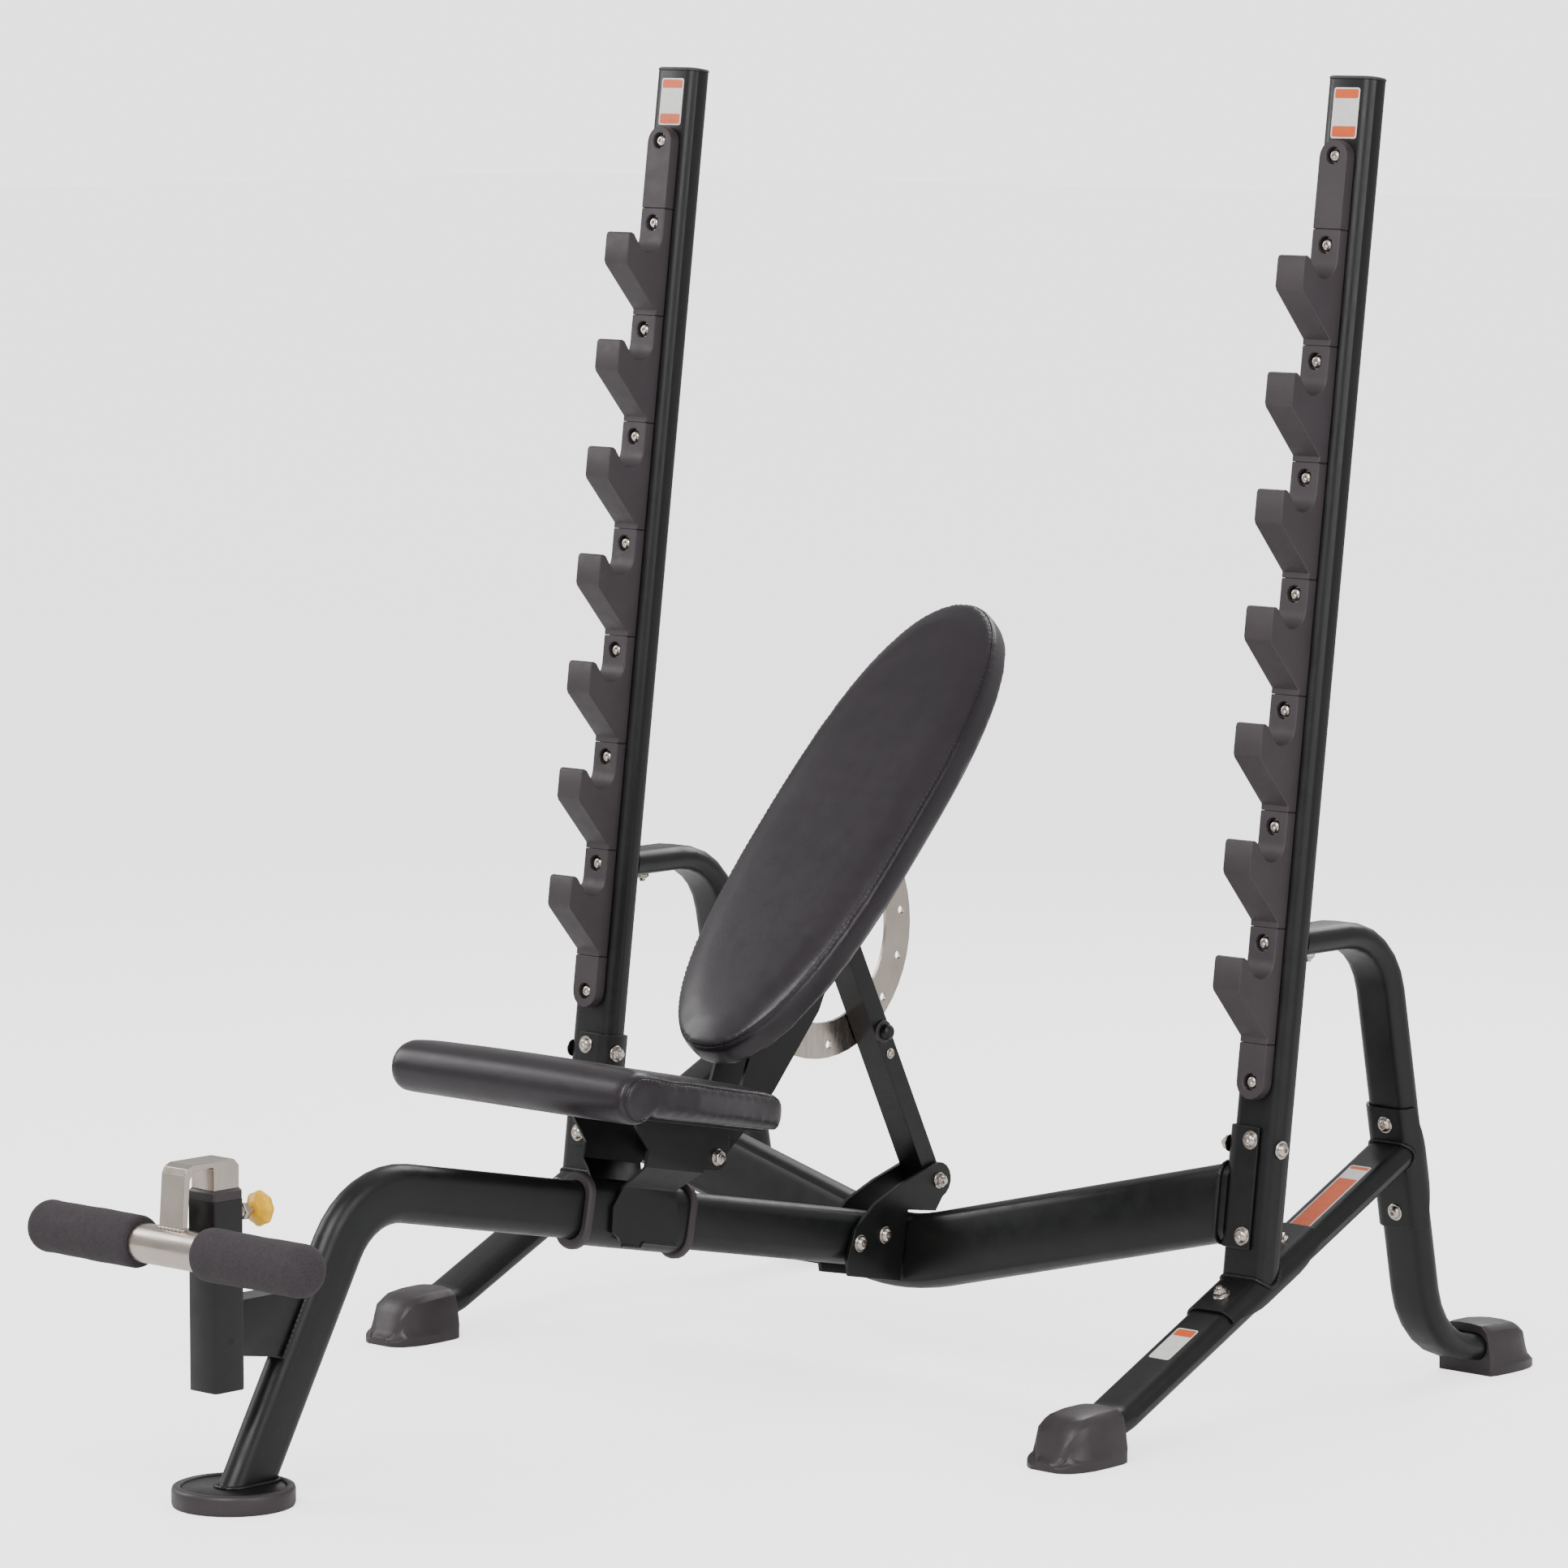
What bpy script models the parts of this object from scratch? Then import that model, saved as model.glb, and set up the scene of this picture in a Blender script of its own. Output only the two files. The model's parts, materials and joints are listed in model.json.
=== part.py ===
"""Adjustable barbell bench with a bar rack, laid out from the top rack bolt.

Frame while building: X across, +Y towards the rear feet, +Z up, floor at z = 0, y = 0 at the top
rack bolt. Everything is then slid along Y by Y_SHIFT so the footprint is centred on the origin.
"""
import bpy
import bmesh
from math import sin, cos, tan, radians, pi, sqrt, hypot, atan2
from mathutils import Vector

# ---------------------------------------------------------------- driving dimensions (metres)
Y_SHIFT = 0.5320
GAP = 0.0003            # clearance between pieces that touch
WALL = 0.003            # wall of every steel tube

# racks and uprights
POST_X = 0.585          # centre plane of each upright
LEAN = radians(7.42)    # uprights lean back
BOLT_Z = 1.588          # height of the top rack bolt
POST_W = 0.076
POST_D = 0.038
POST_R = 0.016
POST_P = -0.0325        # upright centreline behind the bolt heads
POST_Q_TOP = -0.098
RACK_PITCH = 0.146
RACK_FIRST = 0.112
RACK_W = 0.044
RACK_BACK = -0.0132
RACK_FACE = 0.004
HOOKS = 7
LAST_BOLT = 1.163
POCKET_R = 0.0110

# side rails and rear legs
RAIL_W = 0.070
RAIL_D = 0.034
RAIL_R = 0.017
RAIL_SLOPE = radians(25.4)
RAIL_POINT = (-0.200, 0.151)
LEG_TOP_Z = 0.605
LEG_LEAN = radians(11.0)

# crossmember
CROSS_H = 0.098
CROSS_D = 0.050
CROSS_R = 0.018
CROSS_SLOPE = radians(13.9)
CROSS_Q0 = 1.4544
BRACKET_T = 0.005
BRACKET_Q = (1.219, 1.3735)

# main beam, measured from the lower link pivot A along the beam (s) and square to it (n)
BEAM_SLOPE = radians(11.2)
PIVOT_A = (-0.1128, 0.2402)
BEAM_H = 0.073
BEAM_W = 0.038
BEAM_R = 0.019
BEAM_N = -0.0865
LEG_SLOPE = radians(60.5)
FRONT_CORNER_S = 1.024
FOOT_Y = -1.344
FOOT_R = 0.0735
FOOT_T = 0.020

# adjusting linkage: two equal bars, so the lower end of the back frame stays on the beam line
BAR = 0.3797
ALPHA = radians(52.5)   # angle of both bars to the beam as drawn
LINK_W = 0.040
LINK_T = 0.028
PIN_R = 0.148           # radius of the hole circle in the quadrant plate
HOLE_ANGLES = (6.0, 17.625, 29.25, 40.875, 52.5, 64.125, 75.75)
PLATE_X = 0.0215        # inner face of gussets, back ears and quadrant plate
AXLE_R = 0.006

# carriage and pads
SLEEVE_S = (0.466, 0.640)
COLLAR_T = 0.012
CAR_X = 0.052           # inner face of the carriage plates beside the pivot
SEAT_S = (0.440, 0.805)
PAD_ANGLE = radians(46.5)
PAD_POINT = (-0.283, 0.732)
PAD_S = (-0.375, 0.368)
PAD_HALF_W = 0.131
PAD_DROP = 0.047        # from the top seam to the underside of the back pad

# leg hold-down
HD_Y = -1.369
HD_W = 0.048
HD_Z = (0.143, 0.373)
STEM_W = 0.040
ROLLER_Y = -1.435
ROLLER_Z = 0.322
ROLLER_R = 0.032
ROLLER_X = (0.057, 0.240)

MATERIALS = {
    "frame_black": ((0.012, 0.012, 0.013), 0.0, 0.45),
    "rack_plastic": ((0.058, 0.050, 0.054), 0.0, 0.55),
    "boot_rubber": ((0.055, 0.047, 0.051), 0.0, 0.60),
    "nickel": ((0.62, 0.58, 0.54), 1.0, 0.32),
    "pad_vinyl": ((0.030, 0.022, 0.029), 0.0, 0.40),
    "roller_foam": ((0.055, 0.050, 0.052), 0.0, 0.85),
    "knob_yellow": ((0.95, 0.62, 0.04), 0.0, 0.35),
}


# ---------------------------------------------------------------- small helpers
def material(name):
    """Give back the named material, making it the first time."""
    found = bpy.data.materials.get(name)
    if found:
        return found
    made = bpy.data.materials.new(name)
    made.use_nodes = True
    shader = made.node_tree.nodes["Principled BSDF"]
    colour, metal, rough = MATERIALS[name]
    shader.inputs["Base Color"].default_value = (*colour, 1.0)
    shader.inputs["Metallic"].default_value = metal
    shader.inputs["Roughness"].default_value = rough
    made.diffuse_color = (*colour, 1.0)
    return made


def finish(name, bm, slot, origin=(0.0, 0.0, 0.0)):
    """Turn a bmesh into a named object whose origin is where it pivots."""
    origin = Vector(origin)
    bmesh.ops.remove_doubles(bm, verts=bm.verts, dist=1e-6)
    bmesh.ops.recalc_face_normals(bm, faces=bm.faces)
    if bm.calc_volume(signed=True) < 0:
        bmesh.ops.reverse_faces(bm, faces=bm.faces)
    bmesh.ops.translate(bm, verts=bm.verts, vec=-origin)
    mesh = bpy.data.meshes.new(name)
    bm.to_mesh(mesh)
    bm.free()
    for face in mesh.polygons:
        face.use_smooth = True
    mesh.set_sharp_from_angle(angle=radians(32))
    mesh.materials.append(material(slot))
    thing = bpy.data.objects.new(name, mesh)
    thing.location = origin + Vector((0.0, Y_SHIFT, 0.0))
    bpy.context.collection.objects.link(thing)
    return thing


def oval(width, depth, radius, steps=4):
    """Closed outline of a rounded rectangle, counter-clockwise."""
    points = []
    corners = ((1, 1, 0), (-1, 1, 90), (-1, -1, 180), (1, -1, 270))
    for sx, sy, start in corners:
        cx = sx * (width / 2 - radius)
        cy = sy * (depth / 2 - radius)
        for i in range(steps + 1):
            a = radians(start + 90 * i / steps)
            point = (cx + radius * cos(a), cy + radius * sin(a))
            if not points or hypot(point[0] - points[-1][0], point[1] - points[-1][1]) > 1e-5:
                points.append(point)
    if hypot(points[0][0] - points[-1][0], points[0][1] - points[-1][1]) < 1e-5:
        points.pop()
    return points


def arc(cx, cy, radius, start, end, steps):
    """Points on an arc, angles in degrees."""
    result = []
    for i in range(steps + 1):
        a = radians(start + (end - start) * i / steps)
        result.append((cx + radius * cos(a), cy + radius * sin(a)))
    return result


def circle(cx, cy, radius, steps=12):
    """Closed ring of points."""
    return arc(cx, cy, radius, 0, 360, steps)[:-1]


def inset(points, amount):
    """Move a counter-clockwise outline inwards."""
    moved = []
    for i, here in enumerate(points):
        before = Vector(here) - Vector(points[i - 1])
        after = Vector(points[(i + 1) % len(points)]) - Vector(here)
        n1 = Vector((-before.y, before.x)).normalized()
        n2 = Vector((-after.y, after.x)).normalized()
        mid = (n1 + n2).normalized()
        step = amount / max(0.5, mid.dot(n1))
        moved.append((here[0] + mid.x * step, here[1] + mid.y * step))
    return moved


def bend_path(corners, radii, steps=6):
    """Straight runs through the corner points, with each inner corner rounded."""
    points = [Vector(corners[0])]
    for i in range(1, len(corners) - 1):
        here = Vector(corners[i])
        d1 = (here - Vector(corners[i - 1])).normalized()
        d2 = (Vector(corners[i + 1]) - here).normalized()
        turn = d1.angle(d2)
        reach = radii[i - 1] * tan(turn / 2)
        side = (d2 - d1 * cos(turn)) / sin(turn)
        centre = here - d1 * reach + side * radii[i - 1]
        for k in range(steps + 1):
            a = turn * k / steps
            points.append(centre + radii[i - 1] * (d1 * sin(a) - side * cos(a)))
    points.append(Vector(corners[-1]))
    return points


def rings_along(path, across, outline):
    """One ring of points per path point; outline is (along across, along the normal)."""
    across = Vector(across)
    rings = []
    for i, here in enumerate(path):
        t1 = (here - path[i - 1]).normalized() if i else None
        t2 = (path[i + 1] - here).normalized() if i + 1 < len(path) else None
        tangent = ((t1 or t2) + (t2 or t1)).normalized()
        normal = across.cross(tangent).normalized()
        rings.append([here + across * a + normal * b for a, b in outline])
    return rings


def skin(bm, rings, closed=False):
    """Wrap quads around a list of equal rings and give back their vertices."""
    made = [[bm.verts.new(p) for p in ring] for ring in rings]
    count = len(made[0])
    spans = len(made) if closed else len(made) - 1
    for r in range(spans):
        low = made[r]
        high = made[(r + 1) % len(made)]
        for i in range(count):
            j = (i + 1) % count
            bm.faces.new((low[i], low[j], high[j], high[i]))
    return made


def fill(bm, *loops):
    """Fill one outline, with any further loops left open as holes."""
    edges = []
    for loop in loops:
        for i, vert in enumerate(loop):
            other = loop[(i + 1) % len(loop)]
            edge = bm.edges.get((vert, other)) or bm.edges.new((vert, other))
            edges.append(edge)
    bmesh.ops.triangle_fill(bm, use_beauty=True, use_dissolve=False, edges=edges)


def solid(name, rings, slot, origin=(0.0, 0.0, 0.0)):
    """A skinned body with both ends filled."""
    bm = bmesh.new()
    made = skin(bm, rings)
    fill(bm, made[0])
    fill(bm, made[-1])
    return finish(name, bm, slot, origin)


def tube(name, outer, inner, slot, origin=(0.0, 0.0, 0.0)):
    """A hollow body, open at both ends."""
    bm = bmesh.new()
    out = skin(bm, outer)
    bore = skin(bm, inner)
    for a, b in ((out[0], bore[0]), (out[-1], bore[-1])):
        for i in range(len(a)):
            j = (i + 1) % len(a)
            bm.faces.new((a[i], a[j], b[j], b[i]))
    return finish(name, bm, slot, origin)


def plate(name, outline, holes, thickness, place, slot, origin=(0.0, 0.0, 0.0), bends=()):
    """A flat plate with holes; place(u, v, w) puts it in space, bends are v lines it folds on."""
    bm = bmesh.new()
    loops = []
    for points in [outline] + list(holes):
        loops.append([bm.verts.new((p[0], p[1], 0.0)) for p in points])
    fill(bm, *loops)
    for line in bends:
        everything = bm.verts[:] + bm.edges[:] + bm.faces[:]
        bmesh.ops.bisect_plane(bm, geom=everything, plane_co=(0, line, 0), plane_no=(0, 1, 0))
    back = bmesh.ops.duplicate(bm, geom=bm.verts[:] + bm.edges[:] + bm.faces[:])
    pairs = {}
    for key, value in back["vert_map"].items():
        pairs[key] = value
    copies = [g for g in back["geom"] if isinstance(g, bmesh.types.BMVert)]
    originals = [v for v in bm.verts if v not in set(copies)]
    rim = [e for e in bm.edges if len(e.link_faces) == 1 and e.verts[0] in set(originals)]
    for edge in rim:
        a, b = edge.verts
        bm.faces.new((a, b, pairs[b], pairs[a]))
    for vert in copies:
        vert.co.z = thickness
    for vert in bm.verts:
        vert.co = Vector(place(*vert.co))
    return finish(name, bm, slot, origin)


def turned(name, profile, place, slot, origin=(0.0, 0.0, 0.0), steps=24, ring=False):
    """A body of revolution; profile is (radius, height), place(a, b, h) puts it in space."""
    bm = bmesh.new()
    rows = []
    for radius, height in profile:
        if radius < 1e-6:
            rows.append([bm.verts.new(place(0.0, 0.0, height))])
            continue
        points = circle(0.0, 0.0, radius, steps)
        rows.append([bm.verts.new(place(a, b, height)) for a, b in points])
    spans = len(rows) if ring else len(rows) - 1
    for r in range(spans):
        low = rows[r]
        high = rows[(r + 1) % len(rows)]
        for i in range(steps):
            j = (i + 1) % steps
            if len(low) == 1 and len(high) > 1:
                bm.faces.new((low[0], high[j], high[i]))
            elif len(high) == 1 and len(low) > 1:
                bm.faces.new((low[i], low[j], high[0]))
            elif len(low) > 1 and len(high) > 1:
                bm.faces.new((low[i], low[j], high[j], high[i]))
    return finish(name, bm, slot, origin)


def half_depth(x, width, depth, radius, extra=0.0):
    """Half depth of a rounded tube at a distance x from its middle."""
    over = max(0.0, abs(x) - (width / 2 - radius))
    big = radius + extra
    return depth / 2 - radius + sqrt(max(0.0, big * big - over * over))


def cope(ring, along, centre, normal, shape, extra, middle):
    """Slide the points of an end ring along the tube until they meet another tube's surface."""
    along = Vector(along)
    normal = Vector(normal)
    moved = []
    for point in ring:
        need = half_depth(point.x - middle, *shape, extra)
        short = need - (point - Vector(centre)).dot(normal)
        moved.append(point + along * (short / along.dot(normal)))
    return moved


def up(q, p, x):
    """A point q below the top rack bolt along the upright and p in front of it."""
    y = -q * sin(LEAN) - p * cos(LEAN)
    z = BOLT_Z - q * cos(LEAN) + p * sin(LEAN)
    return Vector((x, y, z))


def bp(s, n, x=0.0):
    """A point s along the main beam from pivot A and n square to it."""
    y = PIVOT_A[0] - s * cos(BEAM_SLOPE) + n * sin(BEAM_SLOPE)
    z = PIVOT_A[1] + s * sin(BEAM_SLOPE) + n * cos(BEAM_SLOPE)
    return Vector((x, y, z))


def pp(s, d, x=0.0):
    """A point s along the back pad and d below its top seam."""
    y = PAD_POINT[0] + s * cos(PAD_ANGLE) + d * sin(PAD_ANGLE)
    z = PAD_POINT[1] + s * sin(PAD_ANGLE) - d * cos(PAD_ANGLE)
    return Vector((x, y, z))


def across_x(y, z):
    """Turn about an axis along X through (y, z)."""
    return lambda a, b, h: (h, y + a, z + b)


# ---------------------------------------------------------------- the fixed frame
def rail_height(y):
    return RAIL_POINT[1] + tan(RAIL_SLOPE) * (y - RAIL_POINT[0])


def make_upright(side, x):
    rail_n = (0.0, -sin(RAIL_SLOPE), cos(RAIL_SLOPE))
    rail_c = (x, RAIL_POINT[0], RAIL_POINT[1])
    down = up(1, 0, 0) - up(0, 0, 0)
    path = [up(POST_Q_TOP, POST_P, x), up(1.39, POST_P, x)]
    shape = (RAIL_W, RAIL_D, RAIL_R)
    skins = []
    for shrink in (0.0, WALL):
        outline = oval(POST_W - 2 * shrink, POST_D - 2 * shrink, POST_R - shrink)
        rings = rings_along(path, (1, 0, 0), outline)
        rings[-1] = cope(rings[-1], down, rail_c, rail_n, shape, 3 * GAP, x)
        skins.append(rings)
    tube("upright_" + side, skins[0], skins[1], "frame_black")
    # plastic cap with a plug inside the tube
    rows = ((0.018, -WALL - GAP), (0.0, -WALL - GAP), (0.0 - GAP, 0.0008), (-0.003, 0.0008),
            (-0.0045, -0.002))
    rings = []
    for drop, grow in rows:
        outline = oval(POST_W + 2 * grow, POST_D + 2 * grow, POST_R + grow)
        centre = up(POST_Q_TOP + drop, POST_P, x)
        rings.append([centre + Vector((1, 0, 0)) * a + (up(0, -1, 0) - up(0, 0, 0)) * b
                      for a, b in outline])
    solid("upright_cap_" + side, rings, "rack_plastic")


def rail_path(x):
    front_y = -0.420
    toe = rail_height(front_y) - 0.008
    corners = [(x, -0.500, toe), (x, front_y, rail_height(front_y)), (x, 0.110, rail_height(0.110))]
    return bend_path(corners, (0.06,), 4)


def leg_path(x):
    knee_y = 0.1625 + (0.245 - LEG_TOP_Z) * tan(LEG_LEAN)
    toe_y = 0.1625 + (0.245 - 0.040) * tan(LEG_LEAN)
    corners = [(x, -0.070, LEG_TOP_Z), (x, knee_y, LEG_TOP_Z), (x, toe_y, 0.040), (x, 0.357, 0.0352)]
    return bend_path(corners, (0.10, 0.11), 6)


def make_side(side, x):
    leg_n = (0.0, -cos(LEG_LEAN), -sin(LEG_LEAN))
    leg_c = (x, 0.1625, 0.245)
    post_n = up(0, -1, 0) - up(0, 0, 0)
    along = Vector((0.0, cos(RAIL_SLOPE), sin(RAIL_SLOPE)))
    rail = []
    leg = []
    for shrink in (0.0, WALL):
        outline = oval(RAIL_W - 2 * shrink, RAIL_D - 2 * shrink, RAIL_R - shrink)
        rings = rings_along(rail_path(x), (1, 0, 0), outline)
        rings[-1] = cope(rings[-1], along, leg_c, leg_n, (RAIL_W, RAIL_D, RAIL_R), 3 * GAP, x)
        rail.append(rings)
        rings = rings_along(leg_path(x), (1, 0, 0), outline)
        rings[0] = cope(rings[0], (0, 1, 0), up(0.99, POST_P, x), post_n,
                        (POST_W, POST_D, POST_R), 3 * GAP, x)
        leg.append(rings)
    tube("side_rail_" + side, rail[0], rail[1], "frame_black")
    tube("rear_leg_" + side, leg[0], leg[1], "frame_black")


def boot_ring(x, y, skirt, dome, height):
    """One cross-section of a rubber boot, flat underneath with a flared skirt."""
    lip = min(0.012, height * 0.5)
    half = [(skirt, 0.0), (skirt, lip), (dome + 0.003, min(lip + 0.006, height * 0.7)),
            (dome, height * 0.60), (dome * 0.90, height * 0.86), (dome * 0.66, height * 0.975),
            (dome * 0.25, height)]
    points = half + [(-a, b) for a, b in reversed(half)]
    return [Vector((x + a, y, b)) for a, b in points]


def make_boot(name, x, mouth_y, toe_y, tube_z, tube_slope):
    """A boot whose pocket holds the tube end; it opens at mouth_y."""
    way = 1 if toe_y > mouth_y else -1
    rows = ((0.000, 0.0420, 0.0395, 0.0665), (0.012, 0.0460, 0.0415, 0.0670),
            (0.040, 0.0475, 0.0420, 0.0665), (0.066, 0.0470, 0.0405, 0.0635),
            (0.082, 0.0440, 0.0360, 0.0560), (0.093, 0.0395, 0.0290, 0.0410),
            (0.099, 0.0360, 0.0230, 0.0200), (0.1055, 0.0290, 0.0180, 0.0130),
            (0.110, 0.0200, 0.0120, 0.0110))
    outer = [boot_ring(x, mouth_y + way * d, s, w, h) for d, s, w, h in rows]
    outline = oval(RAIL_W + 0.0008, RAIL_D + 0.0008, RAIL_R + 0.0004)
    pocket = []
    for depth in (0.0, 0.068):
        z = tube_z + tube_slope * depth
        pocket.append([Vector((x + a, mouth_y + way * depth, z + b)) for a, b in outline])
    bm = bmesh.new()
    skins = skin(bm, outer)
    bore = skin(bm, pocket)
    fill(bm, skins[0], bore[0])
    fill(bm, skins[-1])
    fill(bm, bore[-1])
    finish(name, bm, "boot_rubber")


def make_cross():
    slope = tan(CROSS_SLOPE) / cos(LEAN)
    end_x = POST_X - POST_W / 2 - 2 * GAP - BRACKET_T
    end_q = CROSS_Q0 - end_x * slope
    corners = [up(end_q, POST_P, -end_x), up(CROSS_Q0, POST_P, 0.0), up(end_q, POST_P, end_x)]
    path = bend_path(corners, (0.30,), 8)
    ahead = up(0, 1, 0) - up(0, 0, 0)
    skins = []
    for shrink in (0.0, WALL):
        outline = oval(CROSS_D - 2 * shrink, CROSS_H - 2 * shrink, CROSS_R - shrink, 3)
        rings = rings_along(path, ahead, outline)
        for index, want in ((0, -end_x), (-1, end_x)):
            along = path[1] - path[0] if index == 0 else path[-1] - path[-2]
            rings[index] = [p + along * ((want - p.x) / along.x) for p in rings[index]]
        skins.append(rings)
    tube("crossmember", skins[0], skins[1], "frame_black")


def make_bracket(side, x, sign):
    """A U of plate around the front, inner and rear faces of an upright."""
    ax = POST_W / 2 - POST_R
    ap = POST_D / 2 - POST_R
    big = POST_R + GAP + BRACKET_T
    small = POST_R + GAP
    outline = [(0.012, ap + big)] + arc(-ax, ap, big, 90, 180, 4)
    outline += arc(-ax, -ap, big, 180, 270, 4) + [(0.012, -ap - big), (0.012, -ap - small)]
    outline += arc(-ax, -ap, small, 270, 180, 4) + arc(-ax, ap, small, 180, 90, 4)
    outline += [(0.012, ap + small)]
    rings = []
    for q in BRACKET_Q:
        rings.append([up(q, POST_P + b, x + sign * a) for a, b in outline])
    solid("cross_bracket_" + side, rings, "frame_black")


def make_gusset(side, sign):
    """Plate that ties the beam to the crossmember and carries pivot A."""
    outline = [(0.150, BEAM_N - 0.050), (0.158, BEAM_N - 0.030), (0.150, BEAM_N + 0.012)]
    outline += [(0.118, BEAM_N + 0.047), (0.072, -0.010)]
    outline += arc(0.0, 0.0, 0.024, 60, 240, 9)
    # over the top of the crossmember and down its front face
    outline += [(-0.002, -0.0405), (0.0525, -0.0430), (0.0500, BEAM_N - 0.050)]
    holes = [circle(0.0, 0.0, AXLE_R + GAP, 12), circle(0.092, BEAM_N + 0.008, 0.0055, 10),
             circle(0.138, BEAM_N - 0.006, 0.0055, 10)]
    x0 = PLATE_X if sign > 0 else -PLATE_X - 0.006
    plate("gusset_" + side, outline, holes, 0.006, lambda u, v, w: bp(u, v, x0 + w), "frame_black")


def beam_path():
    rear = bp(0.0705, BEAM_N)
    corner = bp(FRONT_CORNER_S, BEAM_N)
    drop = corner.z - 0.030
    foot = Vector((0.0, corner.y - drop / tan(LEG_SLOPE), 0.030))
    return bend_path([foot, corner, rear], (0.105,), 8)


def make_beam():
    skins = []
    path = beam_path()
    along = (path[1] - path[0]).normalized()
    ahead = up(0, 1, 0) - up(0, 0, 0)
    face = up(0.0, POST_P + CROSS_D / 2 + GAP, 0.0)
    for shrink in (0.0, WALL):
        outline = oval(BEAM_W - 2 * shrink, BEAM_H - 2 * shrink, BEAM_R - shrink, 5)
        rings = rings_along(path, (1, 0, 0), outline)
        rings[0] = [p + along * ((FOOT_T + GAP - p.z) / along.z) for p in rings[0]]
        back = (path[-1] - path[-2]).normalized()
        rings[-1] = [p + back * ((face - p).dot(ahead) / back.dot(ahead)) for p in rings[-1]]
        skins.append(rings)
    tube("main_beam", skins[0], skins[1], "frame_black")
    profile = [(0.0, 0.0), (FOOT_R, 0.0), (FOOT_R, 0.013), (FOOT_R - 0.004, 0.0165),
               (FOOT_R - 0.008, 0.0165), (FOOT_R - 0.010, FOOT_T), (0.0, FOOT_T)]
    turned("front_foot", profile, lambda a, b, h: (a, FOOT_Y + b, h), "boot_rubber", steps=32)


def make_hold_down_post():
    """Square receiver with the short arm that carries it from the front leg."""
    bm = bmesh.new()
    half = HD_W / 2
    levels = (HD_Z[0], 0.182, 0.250, HD_Z[1])
    outer = [[(a, HD_Y + b, z) for a, b in oval(HD_W, HD_W, 0.005, 2)] for z in levels]
    inner = [[(a, HD_Y + b, z) for a, b in oval(HD_W - 0.006, HD_W - 0.006, 0.0025, 2)]
             for z in (HD_Z[0], HD_Z[1])]
    out = skin(bm, [[Vector(p) for p in ring] for ring in outer])
    bore = skin(bm, [[Vector(p) for p in ring] for ring in inner])
    for a, b in ((out[0], bore[0]), (out[-1], bore[-1])):
        for i in range(len(a)):
            j = (i + 1) % len(a)
            bm.faces.new((a[i], a[j], b[j], b[i]))
    bm.normal_update()
    wanted = None
    for face in bm.faces:
        centre = face.calc_center_median()
        if abs(centre.y - (HD_Y + half)) < 1e-4 and 0.19 < centre.z < 0.22:
            wanted = face
    grown = bmesh.ops.extrude_discrete_faces(bm, faces=[wanted])
    tip = grown["faces"][0]
    corner = bp(FRONT_CORNER_S, BEAM_N)
    slack = (BEAM_H / 2 + 0.0015) / sin(LEG_SLOPE)
    for vert in tip.verts:
        if vert.co.z < 0.2:
            vert.co.z -= 0.010
        line = corner.y - (corner.z - vert.co.z) / tan(LEG_SLOPE) - slack
        vert.co.y = line
        vert.co.x = vert.co.x * 0.95
    finish("hold_down_post", bm, "frame_black")
    rows = ((HD_W / 2, HD_Z[1] + GAP), (HD_W / 2, HD_Z[1] + 0.010), (HD_W / 2 - 0.002, HD_Z[1] + 0.013))
    rings = [[Vector((a, HD_Y + b, z)) for a, b in oval(2 * r, 2 * r, 0.006, 3)] for r, z in rows]
    bore = [[Vector((a, HD_Y + b, z)) for a, b in oval(STEM_W + 0.001, STEM_W + 0.001, 0.0007, 3)]
            for z in (rows[0][1], rows[-1][1])]
    tube("post_collar", rings, bore, "boot_rubber")


def make_rack(side, x):
    """Rack strips and hook modules on the front of an upright."""
    def place(u, v, w):
        return up(v, RACK_BACK + w, x + u)
    thick = RACK_FACE - RACK_BACK
    half = RACK_W / 2
    top = [(-half, RACK_FIRST - 0.0198), (half, RACK_FIRST - 0.0198), (half, 0.002)]
    top += arc(0.0, 0.002, half, 0, -180, 10)[1:]
    plate("rack_top_" + side, top, [circle(0, 0, POCKET_R, 12)], thick, place, "rack_plastic")
    start = RACK_FIRST + RACK_PITCH * (HOOKS - 1) + 0.1265
    low = [(half, start), (-half, start), (-half, LAST_BOLT)]
    low += arc(0.0, LAST_BOLT, half, 180, 0, 10)[1:]
    plate("rack_bottom_" + side, low, [circle(0, LAST_BOLT, POCKET_R, 12)], thick, place,
          "rack_plastic")
    for k in range(HOOKS):
        make_hook("rack_hook_%s_%d" % (side, k + 1), x, RACK_FIRST + RACK_PITCH * k)


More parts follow.
